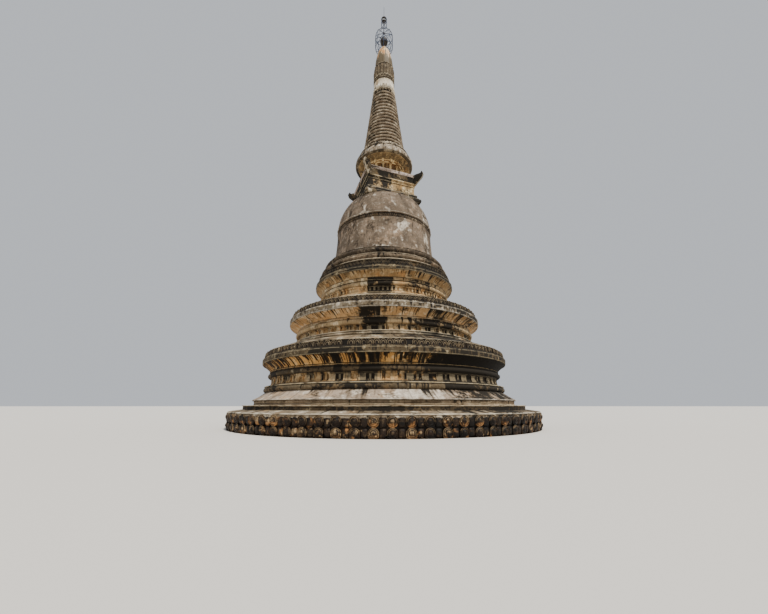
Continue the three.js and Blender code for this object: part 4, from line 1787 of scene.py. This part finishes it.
@dataclass
class SquareThrone:
    """The square throne: swelling base, panelled body and cornice with corner leaves.

    The leaves' rings are given from foot to head: level, inner and outer reach, half width.
    """

    corner: float = 0.05
    per_side: int = 44
    longest: float = 0.06
    leaf_sides: int = 14
    leaf_levels: tuple[float, ...] = (-0.75, -0.5, -0.3, -0.14, -0.01, 0.03, 0.13, 0.24, 0.34)
    leaf_inner: tuple[float, ...] = (-0.4, -0.5, -0.55, -0.55, -0.5, 0.14, 0.21, 0.27, 0.31)
    leaf_outer: tuple[float, ...] = (-0.15, 0.1, 0.33, 0.45, 0.49, 0.49, 0.47, 0.42, 0.35)
    leaf_half: tuple[float, ...] = (0.16, 0.2, 0.24, 0.27, 0.27, 0.24, 0.17, 0.09, 0.03)

    def build(self) -> None:
        """Builds and dresses the throne."""
        self.base()
        self.body()
        self.cornice()

    def section(self, half: float) -> list[Pair]:
        """Draws the square section with its small round corners, anticlockwise.

        Args:
            half: half the width of the square.

        Returns:
            Its points.
        """
        flat, last = half - self.corner, self.per_side - 1
        run = [(half, -flat + 2 * flat * i / last) for i in range(self.per_side)]
        for turn in (math.pi / 2 * i / 4 for i in range(1, 4)):
            run.append((flat + self.corner * math.cos(turn), flat + self.corner * math.sin(turn)))
        points = []
        for c, s in ((1, 0), (0, 1), (-1, 0), (0, -1)):
            points += [(x * c - y * s, x * s + y * c) for x, y in run]
        return points

    def base(self) -> None:
        """Builds the swelling base."""
        span = located("throne_base")
        foot, head, half, body = span.foot, span.head, span.reach, located("throne_body").reach
        piece = Piece("throne_plinth", "throne_base", THRONE_MOULDING, Span(foot, head, 0.0))
        outline = [(half - 0.2, foot)] + half_round(half, 0.12, foot + 0.04, foot + 0.4, 8)
        outline += span.low((-0.16, 0.44), (-0.16, 0.5)) + [(body + 0.14, foot + 0.56)]
        outline += placed(body, head, (0.14, -0.08), (0.06, 0))
        wear = Wear(0.015, 1.6, 0.01, 0.05)
        piece.course(outline, wear, self.longest, section=self.section).join()

    def body(self) -> None:
        """Builds the body with its thin mouldings."""
        span = located("throne_body")
        square = Span(span.foot, span.head, 0.0)
        piece = Piece("throne_panels", "throne_body", CREAM_PANEL, square)
        outline = span.low((0, 0), (0, 0.08), (-0.06, 0.11))
        outline += span.high((-0.06, -0.22), (-0.01, -0.19), (-0.01, -0.12), (-0.06, -0.1), (0, 0))
        piece.course(outline, longest=self.longest, section=self.section).join()

    def cornice(self) -> None:
        """Builds the cornice and the upturned leaves on its corners."""
        foot, top = located("throne_cornice").foot, located("colonnade").foot
        body = located("throne_body").reach
        half = body + 0.17
        piece = Piece("throne_crown", "throne_cornice", THRONE_MOULDING, Span(foot, top, 0.0))
        hollow = [(body + 0.01, foot + 0.11)]
        hollow += cove(body + 0.01, half - 0.06, foot + 0.14, top - 0.3, 8)
        hollow += [(half - 0.05, top - 0.27)]
        fillet = placed(body, foot, (0, 0), (0.07, 0.02), (0.07, 0.08), (0.02, 0.11))
        edge = placed(half, top, (-0.08, -0.27), (0, -0.24), (0, -0.03), (-0.04, 0))
        cream, pink = CREAM_PANEL.material(piece.span), PINK_EDGE.material(piece.span)
        for outline, material in ((hollow, piece.material), (fillet, cream), (edge, pink)):
            wear = Wear(0.012, 1.6, 0.01, 0.06)
            piece.course(outline, wear, self.longest, section=self.section, material=material)
        for turn in parted(4, 0.5):
            leaf = self.leaf(half * math.sqrt(2), top, turn)
            piece.add(worn(leaf, piece.material, Wear(0.012, 0.4, 0.012, 0.0)))
        piece.join()

    def leaf(self, corner: float, top: float, turned: float) -> Object:
        """Builds one upturned corner leaf.

        Args:
            corner: how far the cornice's corner is from the middle.
            top: the level of the cornice's top.
            turned: which way the corner lies.

        Returns:
            The leaf.
        """
        fine = np.linspace(0, len(self.leaf_levels) - 1, 25)
        knots = np.arange(len(self.leaf_levels))
        profiles = (self.leaf_levels, self.leaf_inner, self.leaf_outer, self.leaf_half)
        points = []
        for rise, inner, outer, side in zip(*(np.interp(fine, knots, p) for p in profiles)):
            centre, reach = corner + (inner + outer) / 2, (outer - inner) / 2
            for angle in parted(self.leaf_sides):
                out = centre + reach * math.cos(angle)
                across = side * math.copysign(abs(math.sin(angle)) ** 0.8, math.sin(angle))
                points.append((
                    out * math.cos(turned) - across * math.sin(turned),
                    out * math.sin(turned) + across * math.cos(turned),
                    top + rise,
                ))
        keels = (0, self.leaf_sides // 2)
        # The keels' high mark takes the light colour: worn edges with a painted highlight.
        marks = [0.95 if k in keels else 0.55 for k in range(self.leaf_sides)] * len(fine)
        return new_object(points, stacked(len(fine), self.leaf_sides), marks)


@dataclass
class HoodedColonnade:
    """The drum with its engaged columns, the ring beam and the overhanging hood."""

    columns: int = 16
    column_radius: float = 0.12
    hood_petals: int = 46

    def build(self) -> None:
        """Builds and dresses the colonnade."""
        piece = Piece("colonnade_columns", "colonnade", LIT_COLUMNS)
        span, drum = piece.span, piece.span.reach - 0.18
        # The drum's low mark paints shade between the columns.
        piece.course(span.upright(drum), mark=0.15)
        for turn in parted(self.columns):
            column = self.column(span, polar(drum + 0.06, turn, 0.0))
            piece.add(worn(column, piece.material, Wear(0.004, 0.5, 0.004, 0.0)))
        piece.join()
        piece = Piece("beam", "ring_beam", LIT_COLUMNS)
        span = piece.span
        outline = half_round(span.reach - 0.1, 0.05, span.foot, span.foot + 0.1, 8)
        outline += [(span.reach - 0.14, span.foot + 0.12)]
        outline += half_round(span.reach - 0.03, 0.06, span.foot + 0.15, span.head, 8)
        knob = Block(0.16, 0.28, 0.16)
        piece.course(outline, longest=0.04)
        piece.ring(knob, self.columns, span.reach - 0.17, span.middle, scatter=0.02).join()
        self.hood()

    def column(self, span: Span, place: Point) -> Object:
        """Builds one column with its base and capital.

        Args:
            span: where the columns' course lies.
            place: where the column stands.

        Returns:
            The column.
        """
        thick = self.column_radius
        outline = placed(thick, span.foot, (0, 0), (0, 0.08), (-0.03, 0.14))
        outline += placed(thick, span.head, (-0.03, -0.2), (-0.01, -0.18), (-0.03, -0.14))
        outline += placed(thick, span.head, (0, -0.05), (0, 0))
        # The columns' mark 0.8 gives them part of the light colour: a painted highlight.
        made = lofted(refined(outline, 0.12), Circle(14), 0.8)
        for vertex in made.data.vertices:
            vertex.co += Vector(place)
        return made

    def hood(self) -> None:
        """Builds the hood with its stepped soffit and the small petals on its shoulder."""
        span = located("hood")
        foot, head, rim, edge = span.foot, span.head, span.reach, span.foot + 0.21
        piece = Piece("hood_shell", "hood", HOOD_PLASTER, Span(edge, head - 0.4, rim))
        under = [(1.82, foot), (1.85, foot + 0.05), (1.95, foot + 0.07), (2.1, foot + 0.1)]
        under += [(2.23, foot + 0.15), (2.25, edge - 0.02)]
        lip = [(2.2, edge - 0.03), *placed(rim, edge, (-0.05, -0.01), (-0.03, 0.04))]
        over = placed(rim, edge, (-0.05, 0), (-0.01, 0.05), (0, 0.14), (-0.02, 0.3))
        over += placed(rim, edge, (-0.09, 0.43), (-0.22, 0.58))
        over += [(2.16, head - 0.3), (2.06, head - 0.16), (1.97, head)]
        soffit, lower = BROWN_SOFFIT.material(span), SOFFIT_LIP.material(span)
        piece.course(under, Wear(0.008, 0.8, 0.006, 0.02), 0.05, material=soffit)
        piece.course(lip, NO_WEAR, 0.05, 0.5, material=lower)
        piece.course(over, Wear(0.012, 0.8, 0.012, 0.04))
        leaf, petals = Petal(0.25, 0.4, 0.06, PetalForm.POINTED), PALE_PETALS.material(span)
        faults = {"lean": 0.5, "tilt": 0.05, "missing": 0.04}
        piece.ring(leaf, self.hood_petals, 2.1, head - 0.17, **faults, material=petals).join()


@dataclass
class RingedSpire:
    """The tapering spire of rounded rings, the crown of petals and the bud."""

    rings: int = 17
    section: Circle = Circle(120)
    head_radius: float = 1.08
    groove: float = 0.15
    crown_petals: int = 22
    crown_wear: Wear = Wear(0.008, 0.5, 0.006, 0.01)

    def build(self) -> None:
        """Builds and dresses the spire."""
        self.stack()
        self.crown()
        self.standing_petals()
        self.bud()

    def stack(self) -> None:
        """Builds the stack of rings, each with a flat underside and a rounded nose."""
        piece = Piece("spire_stack", "spire_rings", RING_PLASTER)
        span = piece.span
        pitch = span.height / self.rings
        outline: Outline = []
        for i in range(self.rings):
            left = 1 - i / self.rings
            taper = 0.88 * left + 0.12 * left * left
            crest = self.head_radius + (span.reach - self.head_radius) * taper - 0.04
            low = span.foot + i * pitch
            outline += [(crest - self.groove, low), (crest - self.groove, low + 0.1 * pitch)]
            outline += [(crest - 0.05, low + 0.16 * pitch)]
            outline += half_round(crest, 0.05, low + 0.18 * pitch, low + 0.62 * pitch, 6)
            outline += [(crest - 0.11, low + 0.76 * pitch)]
        outline.append((self.head_radius - self.groove, span.head))
        piece.course(outline, Wear(0.014, 0.7, 0.01, 0.03), 0.12, section=self.section).join()

    def crown(self) -> None:
        """Builds the hanging petals and the cream waist."""
        piece = Piece("crown_hanging_petals", "crown_pendant_lotus", PALE_PETALS)
        span, cream = piece.span, CREAM_WAIST.material(piece.span)
        foot, head, radius, count = span.foot, span.head, span.reach, self.crown_petals
        core = span.low((-0.18, 0), (-0.14, 0.12)) + [(radius - 0.14, span.up(0.5))]
        core += [(radius - 0.2, head)]
        hanging, leaf = Petal(0.26, 0.46, 0.12), Petal(0.24, 0.34, 0.08, ridges=DOMED)
        # The core's low mark paints it dark: painted shade behind the petals.
        piece.course(core, self.crown_wear, 0.1, 0.1, self.section)
        piece.ring(hanging, count, radius - 0.14, foot + 0.24, tilt=0.04)
        piece.ring(leaf, count, radius - 0.17, head - 0.15, 0.5, 0.08, tilt=0.04, material=cream)
        piece.join()
        piece = Piece("crown_waist_band", "crown_waist", CREAM_WAIST)
        outline = piece.span.low((-0.03, 0), (-0.05, 0.15))
        outline += piece.span.high((-0.05, -0.2), (0, 0))
        piece.course(outline, self.crown_wear, section=self.section).join()

    def standing_petals(self) -> None:
        """Builds the two rows of standing petals under the bud."""
        piece = Piece("crown_standing_petals", "crown_upper_lotus", CROWN_PETALS)
        foot, core, count = piece.span.foot, piece.span.reach - 0.1, self.crown_petals
        row = Petal(0.27, 0.3, 0.09)
        # The core's low mark paints it dark: painted shade behind the petals.
        piece.course(piece.span.upright(core), self.crown_wear, mark=0.1, section=self.section)
        piece.ring(row, count, core, foot + 0.13)
        piece.ring(row, count, core + 0.01, foot + 0.33, 0.5).join()

    def bud(self) -> None:
        """Builds the closed bud: fluted stucco below, faded gilding above."""
        span = located("bud")
        foot, radius, collar = span.foot, span.reach, span.foot + 1.15
        stucco = BUD_STUCCO.material(Span(foot, collar, radius))
        gilt = Span(collar, span.head, 0.8 * radius)
        piece = Piece("closed_bud", "bud", FADED_GILDING, gilt)
        lower = span.low((-0.06, 0), (-0.02, 0.2), (0, 0.6), (-0.04, 0.9))
        lower += placed(radius, collar, (-0.12, -0.05), (-0.07, -0.02), (-0.07, 0.03))
        lower += [(radius - 0.13, collar + 0.06)]
        upper = [(radius - 0.14, collar), (0.78, foot + 1.7), (0.67, foot + 2.3)]
        upper += [(0.51, foot + 2.85), (0.37, foot + 3.1), (0.25, foot + 3.3)]
        upper += [(0.14, foot + 3.48), (0.055, span.head)]
        wear = Wear(0.012, 0.4, 0.008, 0.02)
        piece.course(lower, wear, 0.07, section=Circle(144, 20, 0.09), material=stucco)
        piece.course(smooth_curve(upper, 5), wear, 0.07, 0.5, Circle(144, 10, 0.03)).join()


@dataclass
class Finial:
    """The mast, its bronze ball, the wire umbrella, the glass ball and the lightning rod."""

    ribs: int = 8
    wire: float = 0.02
    facing: float = -20.0
    cradle_reach: float = 0.35
    band: float = 0.06

    def build(self) -> None:
        """Builds and dresses the finial."""
        self.mast()
        self.orb()
        self.umbrella()

    def mast(self) -> None:
        """Builds the mast with its bronze ball and the open frame under the glass ball."""
        piece = Piece("mast", "finial_mast", UMBRELLA_IRON)
        span, bronze = piece.span, DARK_BRONZE.material(piece.span)
        head = span.head
        cup = [(0.03, head - 0.14), (0.09, head - 0.06), (0.15, head + 0.06), (0.16, head + 0.11)]
        globe = ball(span.reach, span.foot + 0.38, 24)
        piece.course(span.upright(0.03), NO_WEAR, 0.5, section=Circle(16))
        piece.course(globe, NO_WEAR, mark=0.5, section=Circle(48), material=bronze)
        piece.course(cup, NO_WEAR, mark=0.5, section=Circle(24), material=bronze)
        piece.wires(self.cradle(head), 1.1 * self.wire).join()

    def cradle(self, head: float) -> Routes:
        """Gives the bars of the small open frame that holds the glass ball.

        Args:
            head: the mast's upper level.

        Returns:
            The bars' routes.
        """
        foot, ends, routes = head - 0.28, [], []
        for quarter in range(4):
            turn = math.radians(self.facing + 45 + 90 * quarter)
            x, y = polar(self.cradle_reach, turn)
            ends.append((x, y, foot))
            prong = [(0.8 * x, 0.8 * y, head + 0.14), (0.76 * x, 0.76 * y, head + 0.22)]
            routes += [[ends[-1], *prong], [(0.0, 0.0, foot), ends[-1]]]
        return routes + [[*ends, ends[0]]]

    def circle(self, radius: float, level: float) -> list[Point]:
        """Gives a closed level circle."""
        ring = [polar(radius, turn, level) for turn in parted(40)]
        return ring + [ring[0]]

    def orb(self) -> None:
        """Builds the glass ball in its bronze ring and the lightning rod."""
        piece = Piece("glass_orb", "finial_ball", CLEAR_BALL)
        span, head = piece.span, piece.span.head
        iron, bronze = UMBRELLA_IRON.material(span), DARK_BRONZE.material(span)
        core = 0.52 * span.reach
        collar = [(0.09, span.middle + 0.88 * core), (0.06, head - 0.04), (0.02, head)]
        globe = ball(core, span.middle, 22)
        piece.course(globe, NO_WEAR, mark=0.5, section=Circle(48))
        piece.course(collar, NO_WEAR, mark=0.5, section=Circle(24), material=iron)
        hoop = self.circle(span.reach - self.band - 0.005, span.middle)
        piece.wires([hoop], self.band, bronze).join()
        piece = Piece("rod", "lightning_rod", UMBRELLA_IRON)
        reach, foot, head = piece.span.reach, piece.span.foot, piece.span.head
        rod = [(reach, foot), (reach, head - 0.12), (0.3 * reach, head)]
        piece.course(rod, NO_WEAR, 0.6, section=Circle(12)).join()

    def umbrella(self) -> None:
        """Builds the umbrella of curved ribs, hoops and crossed braces."""
        piece = Piece("umbrella_wires", "umbrella_cage", UMBRELLA_IRON)
        foot, reach = piece.span.foot, piece.span.reach - 0.03
        seat, low, high = 0.5, 0.32, 1.48
        ribs = smooth_curve([
            (seat, 0.02), (0.9 * reach, 0.11), (reach, low), (reach, 0.85), (reach, 1.38),
            (0.9 * reach, 1.66), (0.5 * reach, 1.8), (0.04, 1.85),
        ], 5)
        thick = [[polar(r, turn, foot + z) for r, z in ribs] for turn in parted(self.ribs, 0.5)]
        for radius, level in ((seat, 0.02), (reach, low), (reach, high)):
            thick.append(self.circle(radius - 0.005, foot + level))
        for bearing, left, right in ((0, 0.98, 1.02), (0, 1.35, 1.78), (90, 1.0, 1.0)):
            x, y = polar(0.96 * reach, math.radians(self.facing + bearing))
            thick.append([(-x, -y, foot + left), (x, y, foot + right)])
        thin = [self.circle(0.99 * reach, foot + 0.9), self.circle(0.62 * reach, foot + 1.78)]
        thin += self.braces(reach, foot + low, foot + 0.9)
        thin += self.braces(reach, foot + 0.9, foot + high)
        piece.wires(thick, self.wire).wires(thin, 0.5 * self.wire).join()

    def braces(self, radius: float, low: float, high: float) -> Routes:
        """Gives crossed braces between the ribs.

        Args:
            radius: how far out they lie.
            low: the level of their lower ends.
            high: the level of their upper ends.

        Returns:
            The braces' routes.
        """
        pitch, routes = 2 * math.pi / self.ribs, []
        for start in parted(self.ribs, 0.5):
            for one, other in ((start, start + pitch), (start + pitch, start)):
                routes.append([
                    polar(radius, one + (other - one) * share, low + (high - low) * share)
                    for share in (0.0, 0.25, 0.5, 0.75, 1.0)
                ])
        return routes


# The studio


@dataclass(frozen=True)
class Studio:
    """Camera, floor and light."""

    distance: float = 28.45
    azimuth: float = -20.0
    eye: float = 1.6
    pitch: float = 5.0
    frame_width: int = 768
    focal_pixels: float = 341.0
    shift: float = 0.09
    sun_azimuth: float = 18.0
    sun_height: float = 56.0
    sun_power: float = 4.2
    sky_power: float = 0.7
    sun_width: float = 5.0
    sun_colour: Point = (1.0, 0.95, 0.86)
    sky_colour: tuple[float, ...] = (0.86, 0.9, 0.96, 1.0)
    floor_reach: float = 2000.0
    floor_sides: int = 128
    floor_colour: tuple[float, ...] = (0.74, 0.71, 0.66, 1.0)
    floor_roughness: float = 0.95

    def build(self) -> None:
        """Sets up the camera, the floor, the sun and the sky."""
        self.camera()
        self.floor()
        self.lights()

    def camera(self) -> None:
        """Sets the camera at a standing person's eye level in front of the stupa."""
        data = bpy.data.cameras.new("eye")
        data.sensor_width = 36.0
        data.lens = data.sensor_width * self.focal_pixels / self.frame_width
        data.shift_y = self.shift
        data.clip_end = 5000.0
        made = bpy.data.objects.new("eye", data)
        bpy.context.scene.collection.objects.link(made)
        turn = math.radians(self.azimuth)
        made.location = (self.distance * math.sin(turn), -self.distance * math.cos(turn), self.eye)
        made.rotation_euler = (math.radians(90 + self.pitch), 0.0, turn)
        bpy.context.scene.camera = made

    def floor(self) -> None:
        """Lays the pale round floor."""
        edge = [polar(self.floor_reach, turn, 0.0) for turn in parted(self.floor_sides)]
        face = tuple(range(self.floor_sides))
        floor = new_object(edge, [face], [0.5] * self.floor_sides, name="floor")
        material = bpy.data.materials.new("pale_floor")
        material.use_nodes = True
        surface = material.node_tree.nodes["Principled BSDF"]
        surface.inputs["Base Color"].default_value = self.floor_colour
        surface.inputs["Roughness"].default_value = self.floor_roughness
        floor.data.materials.append(material)

    def lights(self) -> None:
        """Sets a high soft sun and a pale sky."""
        sun = bpy.data.lights.new("sun", "SUN")
        sun.energy = self.sun_power
        sun.angle = math.radians(self.sun_width)
        sun.color = self.sun_colour
        lamp = bpy.data.objects.new("sun", sun)
        turn, height = math.radians(self.sun_azimuth), math.radians(self.sun_height)
        away = math.cos(height)
        towards = Vector((math.sin(turn) * away, -math.cos(turn) * away, math.sin(height)))
        lamp.rotation_euler = towards.to_track_quat("Z", "Y").to_euler()
        bpy.context.scene.collection.objects.link(lamp)
        world = bpy.data.worlds.new("sky")
        world.use_nodes = True
        sky = world.node_tree.nodes["Background"]
        sky.inputs["Color"].default_value = self.sky_colour
        sky.inputs["Strength"].default_value = self.sky_power
        bpy.context.scene.world = world


def main() -> None:
    """Builds the studio and the stupa, and notes the sizes."""
    logging.basicConfig(level=logging.INFO, format="%(message)s")
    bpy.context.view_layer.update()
    Studio().build()
    groups = (
        LotusPlinth(), SteppedBase(),
        RoundTier("tier1", "tier2_foot_roll", 61, 80, 0.46, LOWER_TIER),
        RoundTier("tier2", "tier3_frieze", 61, 73, 0.32, MIDDLE_TIER),
        BellTier(), Bell(), SquareThrone(), HoodedColonnade(), RingedSpire(), Finial(),
    )
    for group in groups:
        log.info("building %s", type(group).__name__)
        group.build()


if __name__ == "__main__":
    main()
